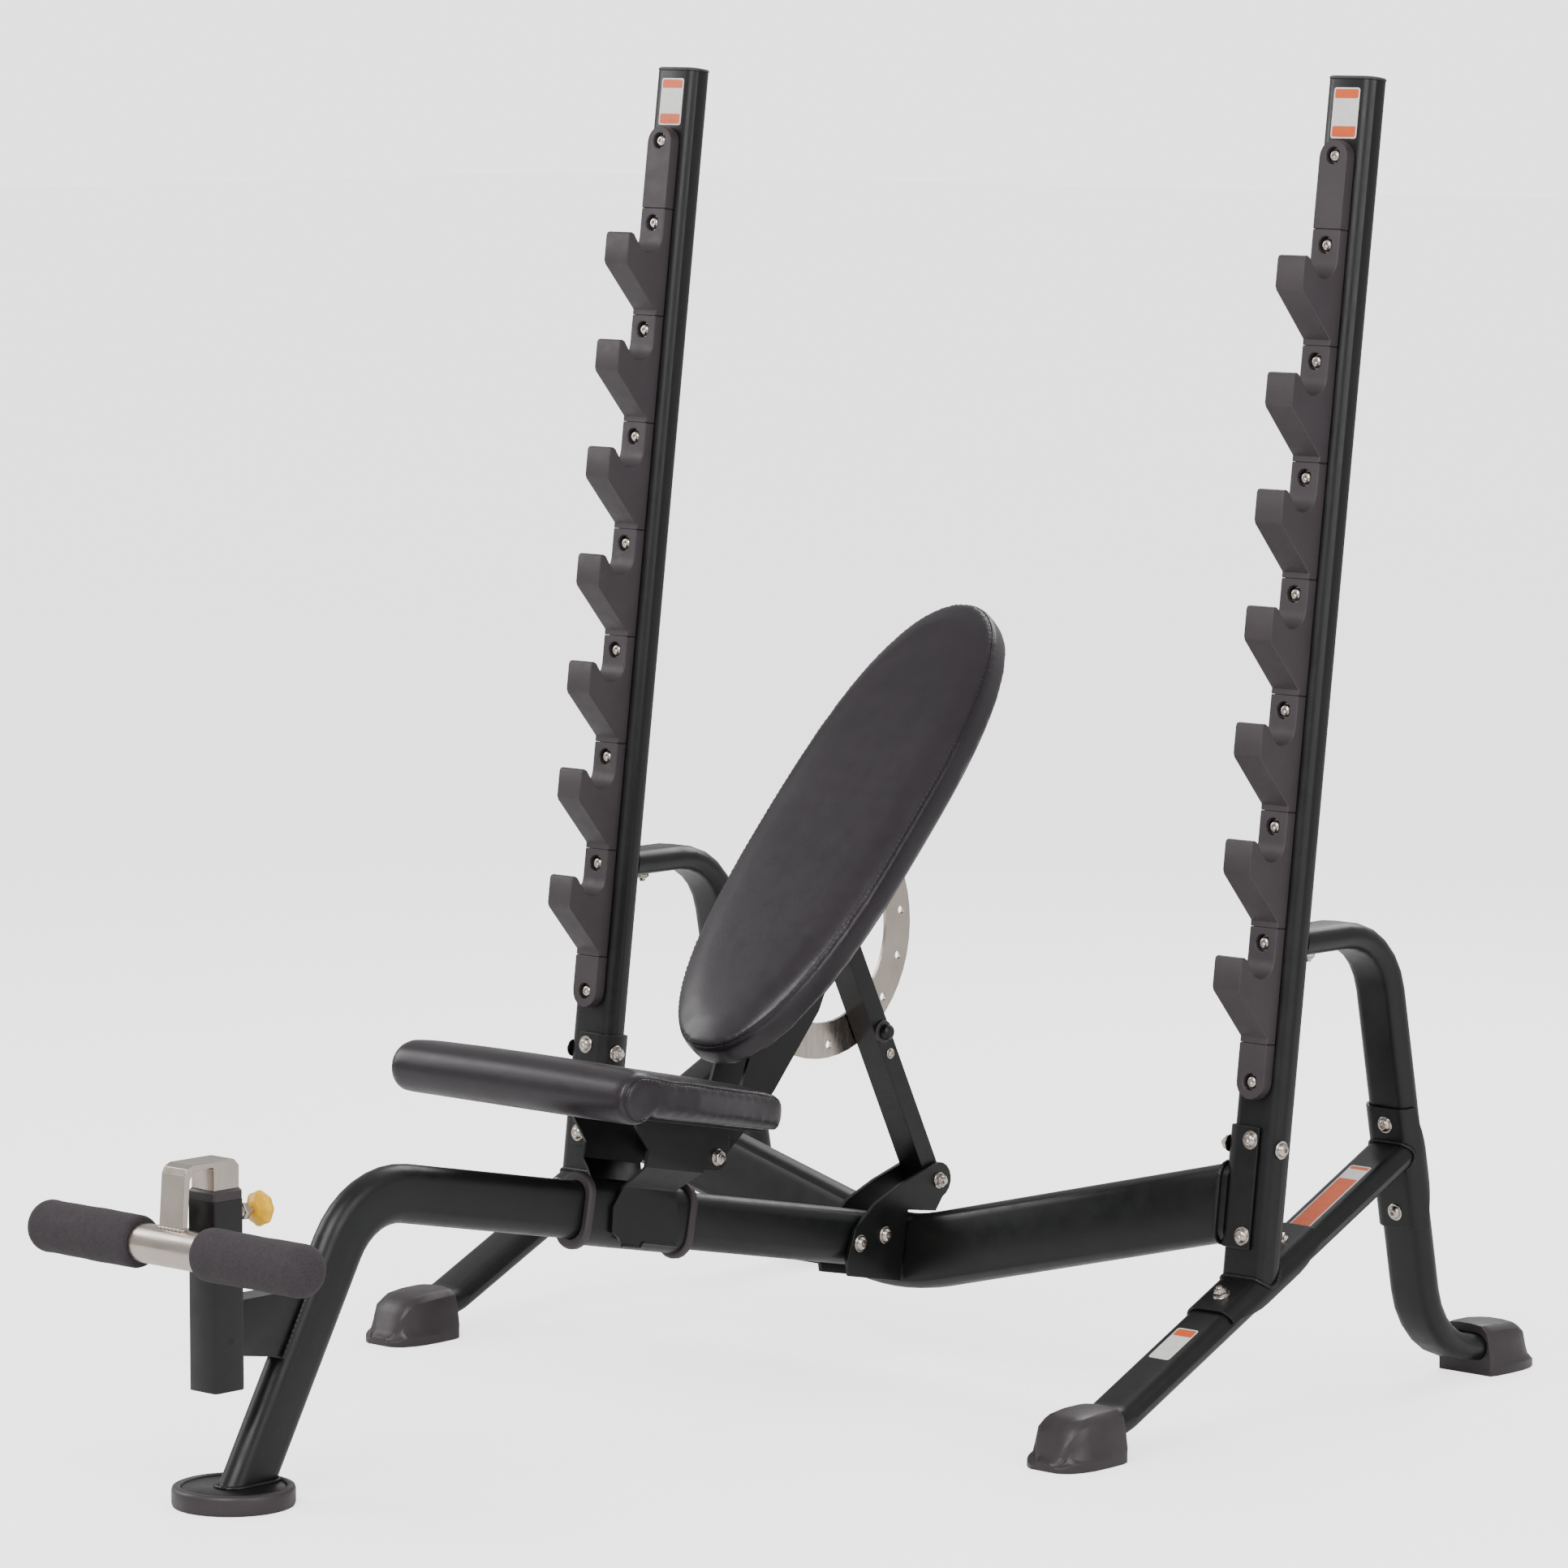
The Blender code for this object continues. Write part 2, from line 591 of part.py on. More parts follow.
def make_hook(name, x, q0):
    """One moulded hook; outline is (forward, down from its bolt)."""
    outline = [(RACK_BACK, 0.1262), (RACK_BACK, -0.0195), (RACK_FACE, -0.0195), (RACK_FACE, 0.0200)]
    outline += arc(0.0275, 0.0200, 0.0235, 180, 60, 7)[1:]
    outline += [(0.0520, 0.0270), (0.0575, 0.0205), (0.0625, 0.0185), (0.0670, 0.0200)]
    outline += [(0.0685, 0.0240), (0.0685, 0.0580), (0.0660, 0.0635), (RACK_FACE, 0.1190)]
    outline += [(RACK_FACE, 0.1262)]
    outline.reverse()
    half = RACK_W / 2
    small = inset(outline, 0.0012)
    if sum(a[0] * b[1] - b[0] * a[1] for a, b in zip(outline, outline[1:] + outline[:1])) < 0:
        small = inset(outline, -0.0012)
    rows = ((-half, small), (-half + 0.0012, outline), (half - 0.0012, outline), (half, small))
    bm = bmesh.new()
    made = skin(bm, [[up(q0 + d, f, x + a) for f, d in pts] for a, pts in rows])
    fill(bm, made[0])
    fill(bm, made[-1])
    wanted = None
    middle = up(q0, RACK_FACE, x)
    for face in bm.faces:
        inside = len(face.verts) == 4 and face.calc_area() > 0.0008
        if inside and (face.calc_center_median() - middle).length < 0.004:
            wanted = face
    border = list(wanted.verts)
    bmesh.ops.delete(bm, geom=[wanted], context="FACES_ONLY")
    rims = []
    for radius, depth in ((POCKET_R + 0.001, 0.0), (POCKET_R, 0.001), (POCKET_R, 0.0100)):
        points = [up(q0 + b, RACK_FACE - depth, x + a) for a, b in circle(0, 0, radius, 12)]
        rims.append(points)
    well = skin(bm, rims)
    fill(bm, border, well[0])
    fill(bm, well[-1])
    finish(name, bm, "rack_plastic")


# ---------------------------------------------------------------- linkage, back rest and seat
def rotate(angle, u, v):
    return (u * cos(angle) - v * sin(angle), u * sin(angle) + v * cos(angle))


def yz_plate(x0):
    return lambda u, v, w: (x0 + w, u, v)


def make_link():
    a = bp(0, 0)
    b = bp(BAR * cos(ALPHA), BAR * sin(ALPHA))
    way = (b - a).normalized()
    lean = atan2(way.z, way.y)
    half = LINK_T / 2
    outline = []
    for u, v in arc(0, 0, half, 90, 270, 6) + arc(BAR, 0, half, -90, 90, 6):
        y, z = rotate(lean, u, v)
        outline.append((a.y + y, a.z + z))
    pin = a + way * (BAR - PIN_R)
    holes = [circle(a.y, a.z, AXLE_R + GAP, 12), circle(b.y, b.z, AXLE_R + GAP, 12),
             circle(pin.y, pin.z, 0.0053, 12)]
    plate("link_arm", outline, holes, LINK_W, yz_plate(-LINK_W / 2), "frame_black", a)
    profile = [(0.0, -PLATE_X + 0.0007), (0.005, -PLATE_X + 0.0007), (0.005, LINK_W / 2 + 0.001),
               (0.010, LINK_W / 2 + 0.001), (0.010, LINK_W / 2 + 0.012), (0.006, LINK_W / 2 + 0.015),
               (0.0, LINK_W / 2 + 0.015)]
    turned("lock_pin", profile, across_x(pin.y, pin.z), "frame_black", pin, 16)
    head = 0.010
    rows = (("pivot_bolt_a", a, PLATE_X + 0.006, PLATE_X + 0.006),
            ("pivot_bolt_b", b, PLATE_X + 0.011, PLATE_X + 0.005),
            ("pivot_bolt_c", bp(2 * BAR * cos(ALPHA), 0), CAR_X + 0.005, CAR_X + 0.005))
    for name, point, left, right in rows:
        low = -left - GAP
        end = right + GAP
        profile = [(0.0, low - 0.006), (0.007, low - 0.006), (head, low - 0.003), (head, low),
                   (AXLE_R, low), (AXLE_R, end), (head, end), (head, end + 0.003),
                   (0.007, end + 0.006), (0.0, end + 0.006)]
        turned(name, profile, across_x(point.y, point.z), "nickel", point, 16)


def ear_outline():
    """Side view of a back-rest ear, from pivot B down to pivot C, under the pad frame."""
    reach = 2 * BAR * cos(ALPHA)
    under = PAD_DROP + 0.0056
    points = [pp(0.130, under), pp(-0.320, under)]
    # pass behind the seat, with room for the seat corner at the steepest setting
    points += [bp(s, n) for s, n in ((0.400, 0.100), (0.4045, 0.0745), (0.4130, 0.036), (0.430, 0.0225))]
    points += [bp(s, n) for s, n in arc(reach, 0.0, 0.016, 100, -100, 8)]
    points += [bp(s, n) for s, n in ((0.420, -0.004), (0.385, 0.035), (0.340, 0.090))]
    points += [bp(s, n) for s, n in ((0.275, 0.200), (0.256, 0.268))]
    points += [bp(s, n) for s, n in arc(BAR * cos(ALPHA), BAR * sin(ALPHA), 0.020, -70, -170, 5)]
    points += [pp(0.130, under + 0.020)]
    return [(p.y, p.z) for p in points]


def make_back():
    b = bp(BAR * cos(ALPHA), BAR * sin(ALPHA))
    c = bp(2 * BAR * cos(ALPHA), 0)
    holes = [circle(b.y, b.z, AXLE_R + GAP, 12), circle(c.y, c.z, AXLE_R + GAP, 12)]
    outline = ear_outline()
    plate("back_ear_right", outline, holes, 0.005, yz_plate(PLATE_X), "frame_black", b)
    plate("back_ear_left", outline, holes, 0.005, yz_plate(-PLATE_X - 0.011), "frame_black", b)
    frame = []
    for s, half in ((-0.300, 0.040), (-0.292, 0.046), (0.232, 0.046), (0.240, 0.040)):
        frame.append([pp(s, PAD_DROP + d, x) for x, d in
                      ((-half, GAP), (half, GAP), (half, 0.0053), (-half, 0.0053))])
    solid("back_frame", frame, "frame_black", b)
    # nickel quadrant: a ring sector about pivot B with its holes, fixed beside the left ear
    base = -BEAM_SLOPE + ALPHA
    outer = PIN_R + 0.017
    inner = PIN_R - 0.030
    first = base - 2 * radians(HOLE_ANGLES[0]) + radians(6)
    last = base - 2 * radians(HOLE_ANGLES[-1]) - radians(14)
    outline = []
    count = 22
    for i in range(count + 1):
        a = first + (last - first) * i / count
        outline.append((b.y + outer * cos(a), b.z + outer * sin(a)))
    for i in range(count + 1):
        a = last + (first - last) * i / count
        outline.append((b.y + inner * cos(a), b.z + inner * sin(a)))
    outline.reverse()
    holes = []
    for angle in HOLE_ANGLES:
        a = base - 2 * radians(angle)
        holes.append(circle(b.y + PIN_R * cos(a), b.z + PIN_R * sin(a), 0.0056, 10))
    plate("quadrant_plate", outline, holes, 0.005, yz_plate(-PLATE_X - 0.005), "nickel", b)
    # back pad: simple closed cushion with a long oval outline
    count = 40
    middle = (PAD_S[0] + PAD_S[1]) / 2
    reach = (PAD_S[1] - PAD_S[0]) / 2
    rows = ((PAD_DROP, 0.006), (PAD_DROP - 0.008, 0.0), (0.006, 0.0), (0.0, 0.002), (-0.0045, 0.012),
            (-0.0075, 0.045))
    rings = []
    for d, shrink in rows:
        ring = []
        for i in range(count):
            a = 2 * pi * i / count
            s = (reach - shrink) * abs(cos(a)) ** (2 / 2.7) * (1 if cos(a) > 0 else -1)
            x = (PAD_HALF_W - shrink) * abs(sin(a)) ** (2 / 2.2) * (1 if sin(a) > 0 else -1)
            ring.append(pp(middle + s, d, x))
        rings.append(ring)
    solid("back_pad", rings, "pad_vinyl", b)


def make_carriage():
    c = bp(2 * BAR * cos(ALPHA), 0)
    # sleeve and its two plastic collars, all sliding on the beam
    for name, span, size, slot in (
            ("carriage_sleeve", SLEEVE_S, (0.049, 0.086), "frame_black"),
            ("collar_rear", (SLEEVE_S[0] - GAP - COLLAR_T, SLEEVE_S[0] - GAP), (0.058, 0.099), "rack_plastic"),
            ("collar_front", (SLEEVE_S[1] + GAP, SLEEVE_S[1] + GAP + COLLAR_T), (0.058, 0.099), "rack_plastic")):
        width, height = size
        outer = oval(width, height, width / 2, 5)
        bore = oval(BEAM_W + 0.0012, BEAM_H + 0.0012, BEAM_R + 0.0006, 5)
        small = inset(outer, 0.0025)
        if slot == "frame_black":
            rings = [[bp(s, BEAM_N + v, u) for u, v in outer] for s in span]
        else:
            rings = [[bp(s, BEAM_N + v, u) for u, v in pts] for s, pts in
                     ((span[0], small), (span[0] + 0.0025, outer), (span[1] - 0.0025, outer),
                      (span[1], small))]
        inner = [[bp(s, BEAM_N + v, u) for u, v in bore] for s in span]
        tube(name, rings, inner, slot, c)
    # flared side plates, joggled from the sleeve out to the seat
    low = BEAM_N - 0.030
    outline = [(0.486, low), (0.548, low), (0.552, low - 0.006), (0.586, low - 0.006), (0.592, low + 0.002)]
    outline += [(0.606, low + 0.008), (0.610, low + 0.040), (0.594, BEAM_N + 0.040), (0.590, BEAM_N + 0.055)]
    outline += [(0.588, -0.002), (0.628, 0.0385), (0.446, 0.0385), (0.444, 0.010)]
    outline += arc(0.462, 0.0, 0.018, 180, 270, 4)
    outline += [(0.482, -0.018), (0.500, -0.046), (0.494, BEAM_N + 0.020), (0.480, BEAM_N - 0.010)]
    holes = [circle(2 * BAR * cos(ALPHA), 0.0, AXLE_R + GAP, 12)]
    inner_x = 0.049 / 2 + GAP
    knee = (-0.050, -0.022)

    def flare(v):
        t = min(1.0, max(0.0, (v - knee[0]) / (knee[1] - knee[0])))
        return inner_x + (CAR_X - inner_x) * t

    plate("carriage_plate_right", outline, holes, 0.005, lambda u, v, w: bp(u, v, flare(v) + w),
          "frame_black", c, knee)
    plate("carriage_plate_left", outline, holes, 0.005, lambda u, v, w: bp(u, v, -flare(v) - w),
          "frame_black", c, knee)
    # seat pad: a rolled front edge that narrows towards the back
    rows = ((0.440, 0.134, 0.046, 0.080), (0.4445, 0.146, 0.0415, 0.0865), (0.480, 0.154, 0.0395, 0.0900),
            (0.560, 0.172, 0.0395, 0.0920), (0.660, 0.194, 0.0395, 0.0935), (0.735, 0.209, 0.0380, 0.0950),
            (0.760, 0.213, 0.0320, 0.0955), (0.780, 0.214, 0.0305, 0.0935), (0.794, 0.213, 0.0360, 0.0870),
            (0.802, 0.211, 0.0440, 0.0780), (0.805, 0.207, 0.0540, 0.0690))
    rings = []
    for s, w, bottom, top in rows:
        edge = min(0.012, (top - bottom) * 0.3)
        half = [(w - edge * 0.6, bottom), (w, bottom + edge * 0.6), (w, top - edge),
                (w - edge * 0.35, top - edge * 0.35), (w - edge, top - 0.0008), (w * 0.5, top + 0.0020)]
        points = half + [(0.0, top + 0.003)] + [(-a, b) for a, b in reversed(half)]
        rings.append([bp(s, v, u) for u, v in points])
    solid("seat_pad", rings, "pad_vinyl", c)


# ---------------------------------------------------------------- leg hold-down
def make_hold_down():
    half = STEM_W / 2
    front = HD_Y - half
    rear = HD_Y + half
    top = 0.4215
    grip = ROLLER_Z + 0.0242
    outline = [(front, 0.205), (rear, 0.205), (rear, top - 0.008), (rear - 0.008, top)]
    outline += [(ROLLER_Y + 0.012, top), (ROLLER_Y + 0.003, top - 0.004), (ROLLER_Y - 0.001, top - 0.012)]
    outline += [(ROLLER_Y - 0.006, grip), (ROLLER_Y + 0.003, grip)]
    outline += [(ROLLER_Y + 0.008, top - 0.018), (ROLLER_Y + 0.014, top - 0.008), (front - 0.002, top - 0.007)]
    outline += [(front, top - 0.010)]
    origin = (0.0, HD_Y, HD_Z[1])
    plate("hold_down_stem", outline, [], STEM_W, yz_plate(-half), "nickel", origin)
    place = across_x(ROLLER_Y, ROLLER_Z)
    side = ROLLER_X[0] - 0.001
    end = ROLLER_X[1] - 0.010
    profile = [(0.0, -end), (0.0125, -end), (0.0125, -side), (0.0238, -side), (0.0238, side),
               (0.0125, side), (0.0125, end), (0.0, end)]
    centre = (0.0, ROLLER_Y, ROLLER_Z)
    turned("roller_axle", profile, place, "nickel", centre, 24)
    for side_name, sign in (("left", -1), ("right", 1)):
        lo, hi = ROLLER_X
        profile = [(0.0128, lo), (ROLLER_R - 0.007, lo), (ROLLER_R - 0.002, lo + 0.002),
                   (ROLLER_R, lo + 0.007), (ROLLER_R, hi - 0.014), (ROLLER_R - 0.004, hi - 0.005),
                   (ROLLER_R - 0.012, hi), (0.0128, hi)]
        profile = [(r, sign * h) for r, h in profile]
        turned("foam_roller_" + side_name, profile, place, "roller_foam",
               (sign * (lo + hi) / 2, ROLLER_Y, ROLLER_Z), 24, True)
    # spring plunger with its knob, on the rear face of the post
    y0 = HD_Y + HD_W / 2 + GAP
    z0 = 0.352
    profile = [(0.0, y0), (0.009, y0), (0.009, y0 + 0.026), (0.0055, y0 + 0.028), (0.0055, y0 + 0.034),
               (0.014, y0 + 0.036), (0.021, y0 + 0.041), (0.022, y0 + 0.050), (0.017, y0 + 0.057),
               (0.0, y0 + 0.059)]
    turned("leg_pin", profile, lambda a, b, h: (a, h, z0 + b), "knob_yellow", (0.0, y0, z0), 20)


# ---------------------------------------------------------------- build everything
for old in list(bpy.data.objects):
    bpy.data.objects.remove(old, do_unlink=True)

for side_name, side_sign in (("left", -1), ("right", 1)):
    make_upright(side_name, side_sign * POST_X)
    make_side(side_name, side_sign * POST_X)
    make_boot("front_boot_" + side_name, side_sign * POST_X, -0.4360, -0.5460, 0.0450, -0.1000)
    make_boot("rear_boot_" + side_name, side_sign * POST_X, 0.2930, 0.4030, 0.0372, -0.0313)
    make_bracket(side_name, side_sign * POST_X, side_sign)
    make_gusset(side_name, side_sign)
    make_rack(side_name, side_sign * POST_X)
make_cross()
make_beam()
make_hold_down_post()
make_link()
make_back()
make_carriage()
make_hold_down()
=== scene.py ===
"""Looks for the barbell bench: materials, fasteners, welds, upholstery, light and camera.

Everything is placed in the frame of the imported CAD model, in metres. The drawing helpers up(),
bp() and pp() give points along the uprights, the main beam and the back pad.
"""
import json

import bmesh
import bpy
from math import sin, cos, tan, radians, pi, sqrt, exp
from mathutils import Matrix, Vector
from mathutils.bvhtree import BVHTree

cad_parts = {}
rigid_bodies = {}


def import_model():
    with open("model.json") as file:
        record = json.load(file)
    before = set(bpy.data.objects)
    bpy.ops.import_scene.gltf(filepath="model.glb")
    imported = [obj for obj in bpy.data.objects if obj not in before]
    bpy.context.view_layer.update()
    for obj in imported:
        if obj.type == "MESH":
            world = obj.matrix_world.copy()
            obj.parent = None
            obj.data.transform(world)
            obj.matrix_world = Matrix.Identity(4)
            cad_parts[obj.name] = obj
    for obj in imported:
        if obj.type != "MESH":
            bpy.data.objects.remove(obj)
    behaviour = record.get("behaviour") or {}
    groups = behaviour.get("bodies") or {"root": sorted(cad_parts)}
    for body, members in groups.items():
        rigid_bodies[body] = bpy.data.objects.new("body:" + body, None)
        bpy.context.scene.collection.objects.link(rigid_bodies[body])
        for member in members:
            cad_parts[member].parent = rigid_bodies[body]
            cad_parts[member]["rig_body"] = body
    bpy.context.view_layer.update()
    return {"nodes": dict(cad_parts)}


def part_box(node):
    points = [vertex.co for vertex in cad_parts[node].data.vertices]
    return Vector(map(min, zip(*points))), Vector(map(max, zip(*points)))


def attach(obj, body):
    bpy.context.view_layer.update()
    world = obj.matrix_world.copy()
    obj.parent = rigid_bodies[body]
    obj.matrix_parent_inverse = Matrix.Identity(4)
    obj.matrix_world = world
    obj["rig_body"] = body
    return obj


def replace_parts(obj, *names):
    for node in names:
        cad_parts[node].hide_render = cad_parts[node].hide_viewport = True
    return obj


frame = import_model()
nodes = frame["nodes"]
SCENE = bpy.context.scene

# ---------------------------------------------------------------- dimensions shared with the CAD
Y0 = 0.5320             # y of the top rack bolt
POST_X = 0.585
LEAN = radians(7.42)
BOLT_Z = 1.588
POST = (0.076, 0.038, 0.016)
POST_P = -0.0325
RACK_FIRST, RACK_PITCH, LAST_BOLT = 0.112, 0.146, 1.163
POCKET_FLOOR = -0.0059  # bottom of the recess in a hook
RACK_BACK = -0.0132
RACK_SCREW = -0.0030    # where the heads of the rack screws start
RAIL = (0.070, 0.034, 0.017)
RAIL_SLOPE = radians(25.4)
RAIL_POINT = (-0.200, 0.151)
LEG_LEAN = radians(11.0)
CROSS = (0.050, 0.098, 0.018)
CROSS_SLOPE = radians(13.9)
CROSS_Q0 = 1.4544       # the crossmember's middle, down the upright
THROUGH_BOLT = (-0.137 + Y0, 0.351)
BRACKET_FACE = POST_P + 0.019 + 0.0053
BEAM_SLOPE = radians(11.2)
PIVOT_A = (-0.1128, 0.2402)
BEAM = (0.038, 0.073, 0.019)
BEAM_N = -0.0865
BEAM_CORNER_S = 1.024
GUSSET_BOLTS = ((0.092, -0.0785), (0.138, -0.0925))
GUSSET_FACE = 0.0277    # just off the outer face of a gusset
LEG_SLOPE = radians(60.5)
FOOT = Vector((0.0, -1.344 + Y0, 0.0))
BAR = 0.3797
ALPHA = radians(52.5)
PIN_R = 0.148           # the lock pin's distance from the upper pivot
PAD_ANGLE = radians(46.5)
PAD_POINT = (-0.283, 0.732)
PAD_S = (-0.375, 0.368)
PAD_HALF_W = 0.131
PAD_FLOOR = 0.0440      # underside of the back cushion, on its board
SEAT_FLOOR = 0.0430     # underside of the seat cushion, on its board
HD_Y = -1.369 + Y0
PLUNGER_Z = 0.352
ROLLER = Vector((0.0, -1.435 + Y0, 0.322))
ROLLER_R = 0.032
ROLLER_X = (0.057, 0.240)
X_AXIS = Vector((1, 0, 0))
Z_AXIS = Vector((0, 0, 1))


def up(q, p, x):
    """A point q below the top rack bolt along an upright and p in front of it."""
    return Vector((x, Y0 - q * sin(LEAN) - p * cos(LEAN), BOLT_Z - q * cos(LEAN) + p * sin(LEAN)))


def bp(s, n, x=0.0):
    """A point s along the main beam from the lower pivot and n square to it."""
    y = PIVOT_A[0] - s * cos(BEAM_SLOPE) + n * sin(BEAM_SLOPE)
    return Vector((x, Y0 + y, PIVOT_A[1] + s * sin(BEAM_SLOPE) + n * cos(BEAM_SLOPE)))


def pp(s, d, x=0.0):
    """A point s along the back pad and d below its top seam."""
    y = PAD_POINT[0] + s * cos(PAD_ANGLE) + d * sin(PAD_ANGLE)
    return Vector((x, Y0 + y, PAD_POINT[1] + s * sin(PAD_ANGLE) - d * cos(PAD_ANGLE)))


def rail_at(y, x):
    """Centre of a side rail at a distance y behind the top bolt."""
    return Vector((x, Y0 + y, RAIL_POINT[1] + tan(RAIL_SLOPE) * (y - RAIL_POINT[0])))


def leg_at(z, x):
    """Centre of a rear leg at a height z."""
    return Vector((x, Y0 + 0.1625 + (0.245 - z) * tan(LEG_LEAN), z))


POST_DOWN = up(1, 0, 0) - up(0, 0, 0)
POST_AHEAD = up(0, 1, 0) - up(0, 0, 0)
RAIL_ALONG = Vector((0.0, cos(RAIL_SLOPE), sin(RAIL_SLOPE)))
RAIL_UP = Vector((0.0, -sin(RAIL_SLOPE), cos(RAIL_SLOPE)))
LEG_UP = Vector((0.0, -sin(LEG_LEAN), cos(LEG_LEAN)))
LEG_AHEAD = Vector((0.0, -cos(LEG_LEAN), -sin(LEG_LEAN)))
BEAM_OUT = Vector((0.0, sin(BEAM_SLOPE), cos(BEAM_SLOPE)))


# ---------------------------------------------------------------- materials
class Surface:
    """A procedural finish: a shader, object coordinates and helpers to build on them."""

    def __init__(self, name, colour, rough, metal=0.0):
        self.material = bpy.data.materials.new(name)
        self.material.use_nodes = True
        self.tree = self.material.node_tree
        self.shader = self.tree.nodes["Principled BSDF"]
        self.shader.inputs["Metallic"].default_value = metal
        self.coords = self.tree.nodes.new("ShaderNodeTexCoord").outputs["Object"]
        self.colour = colour
        self.rough = rough
        self.height = None

    def node(self, kind, **values):
        made = self.tree.nodes.new(kind)
        for key, value in values.items():
            setattr(made, key, value)
        return made

    def link(self, a, b):
        self.tree.links.new(a, b)

    def noise(self, scale, detail=2.0, stretch=None):
        source = self.coords
        if stretch:
            mapping = self.node("ShaderNodeMapping")
            mapping.inputs["Scale"].default_value = stretch
            self.link(source, mapping.inputs["Vector"])
            source = mapping.outputs["Vector"]
        made = self.node("ShaderNodeTexNoise")
        made.inputs["Scale"].default_value = scale
        made.inputs["Detail"].default_value = detail
        self.link(source, made.inputs["Vector"])
        return made.outputs["Fac"]

    def cells(self, scale, feature="F1"):
        made = self.node("ShaderNodeTexVoronoi", feature=feature)
        made.inputs["Scale"].default_value = scale
        self.link(self.coords, made.inputs["Vector"])
        return made.outputs["Distance"]

    def spread(self, value, low, high, start=0.3, end=0.7):
        made = self.node("ShaderNodeMapRange")
        self.link(value, made.inputs["Value"])
        limits = {"From Min": start, "From Max": end, "To Min": low, "To Max": high}
        for key, number in limits.items():
            made.inputs[key].default_value = number
        return made.outputs["Result"]

    def paint(self, value, dark, light):
        """Base colour between two multiples of the finish's own colour."""
        ramp = self.node("ShaderNodeValToRGB")
        low, high = ramp.color_ramp.elements
        low.position, high.position = 0.32, 0.68
        low.color = (*(min(1.0, c * dark) for c in self.colour), 1.0)
        high.color = (*(min(1.0, c * light) for c in self.colour), 1.0)
        self.link(value, ramp.inputs["Fac"])
        self.link(ramp.outputs["Color"], self.shader.inputs["Base Color"])

    def roughen(self, value, amount):
        made = self.spread(value, self.rough - amount, self.rough + amount)
        self.link(made, self.shader.inputs["Roughness"])

    def bump(self, value, distance, strength=1.0):
        made = self.node("ShaderNodeBump")
        made.inputs["Strength"].default_value = strength
        made.inputs["Distance"].default_value = distance
        self.link(value, made.inputs["Height"])
        if self.height is not None:
            self.link(self.height, made.inputs["Normal"])
        self.height = made.outputs["Normal"]
        self.link(self.height, self.shader.inputs["Normal"])


def powder_coat():
    s = Surface("frame_black", (0.0044, 0.0047, 0.0047), 0.36)
    s.paint(s.noise(9.0, 3.0), 0.82, 1.22)
    s.roughen(s.noise(45.0, 3.0), 0.05)
    s.bump(s.noise(620.0, 2.0), 0.00012, 0.55)
    s.bump(s.noise(55.0, 1.0), 0.0003, 0.10)
    s.shader.inputs["Specular IOR Level"].default_value = 0.42
    return s.material


def moulded(name, colour, rough, grain, depth):
    s = Surface(name, colour, rough)
    s.paint(s.noise(16.0, 3.0), 0.90, 1.12)
    s.roughen(s.noise(70.0, 2.0), 0.05)
    s.bump(s.noise(grain, 3.0), depth, 0.6)
    return s.material


def plated():
    s = Surface("nickel", (0.52, 0.455, 0.405), 0.25, 1.0)
    s.paint(s.noise(14.0, 4.0), 0.90, 1.10)
    s.roughen(s.noise(30.0, 5.0, (1.0, 8.0, 1.0)), 0.07)
    s.bump(s.noise(500.0, 2.0, (0.15, 1.0, 1.0)), 0.00006, 0.35)
    return s.material


def bright_plated():
    s = Surface("bolt_plating", (0.60, 0.54, 0.49), 0.22, 1.0)
    s.paint(s.noise(180.0, 2.0), 0.92, 1.08)
    s.roughen(s.noise(260.0, 2.0), 0.05)
    return s.material


def vinyl():
    s = Surface("pad_vinyl", (0.0145, 0.0098, 0.0135), 0.33)
    s.paint(s.noise(11.0, 4.0), 0.86, 1.16)
    s.roughen(s.noise(40.0, 4.0), 0.05)
    s.bump(s.cells(820.0, "SMOOTH_F1"), 0.00022, 0.42)
    s.bump(s.noise(260.0, 4.0), 0.00025, 0.22)
    s.bump(s.noise(24.0, 2.0), 0.0008, 0.18)
    s.shader.inputs["Specular IOR Level"].default_value = 0.5
    return s.material


def thread():
    s = Surface("thread", (0.0060, 0.0042, 0.0055), 0.55)
    s.paint(s.noise(300.0, 2.0), 0.8, 1.3)
    s.bump(s.noise(2600.0, 1.0), 0.0001, 0.6)
    return s.material


def foam():
    s = Surface("roller_foam", (0.032, 0.0255, 0.0295), 0.84)
    s.paint(s.noise(420.0, 3.0), 0.80, 1.22)
    s.roughen(s.noise(90.0, 2.0), 0.05)
    s.bump(s.cells(950.0), 0.0004, 0.45)
    s.bump(s.noise(48.0, 3.0), 0.0010, 0.30)
    return s.material


def knob_plastic():
    s = Surface("knob_yellow", (1.0, 0.53, 0.004), 0.32)
    s.paint(s.noise(60.0, 2.0), 0.93, 1.03)
    s.roughen(s.noise(120.0, 2.0), 0.06)
    s.bump(s.noise(700.0, 2.0), 0.00006, 0.4)
    return s.material


def sticker(name, colour):
    s = Surface(name, colour, 0.34)
    s.paint(s.noise(90.0, 2.0), 0.94, 1.04)
    s.roughen(s.noise(150.0, 2.0), 0.04)
    s.bump(s.noise(400.0, 2.0), 0.00004, 0.4)
    return s.material


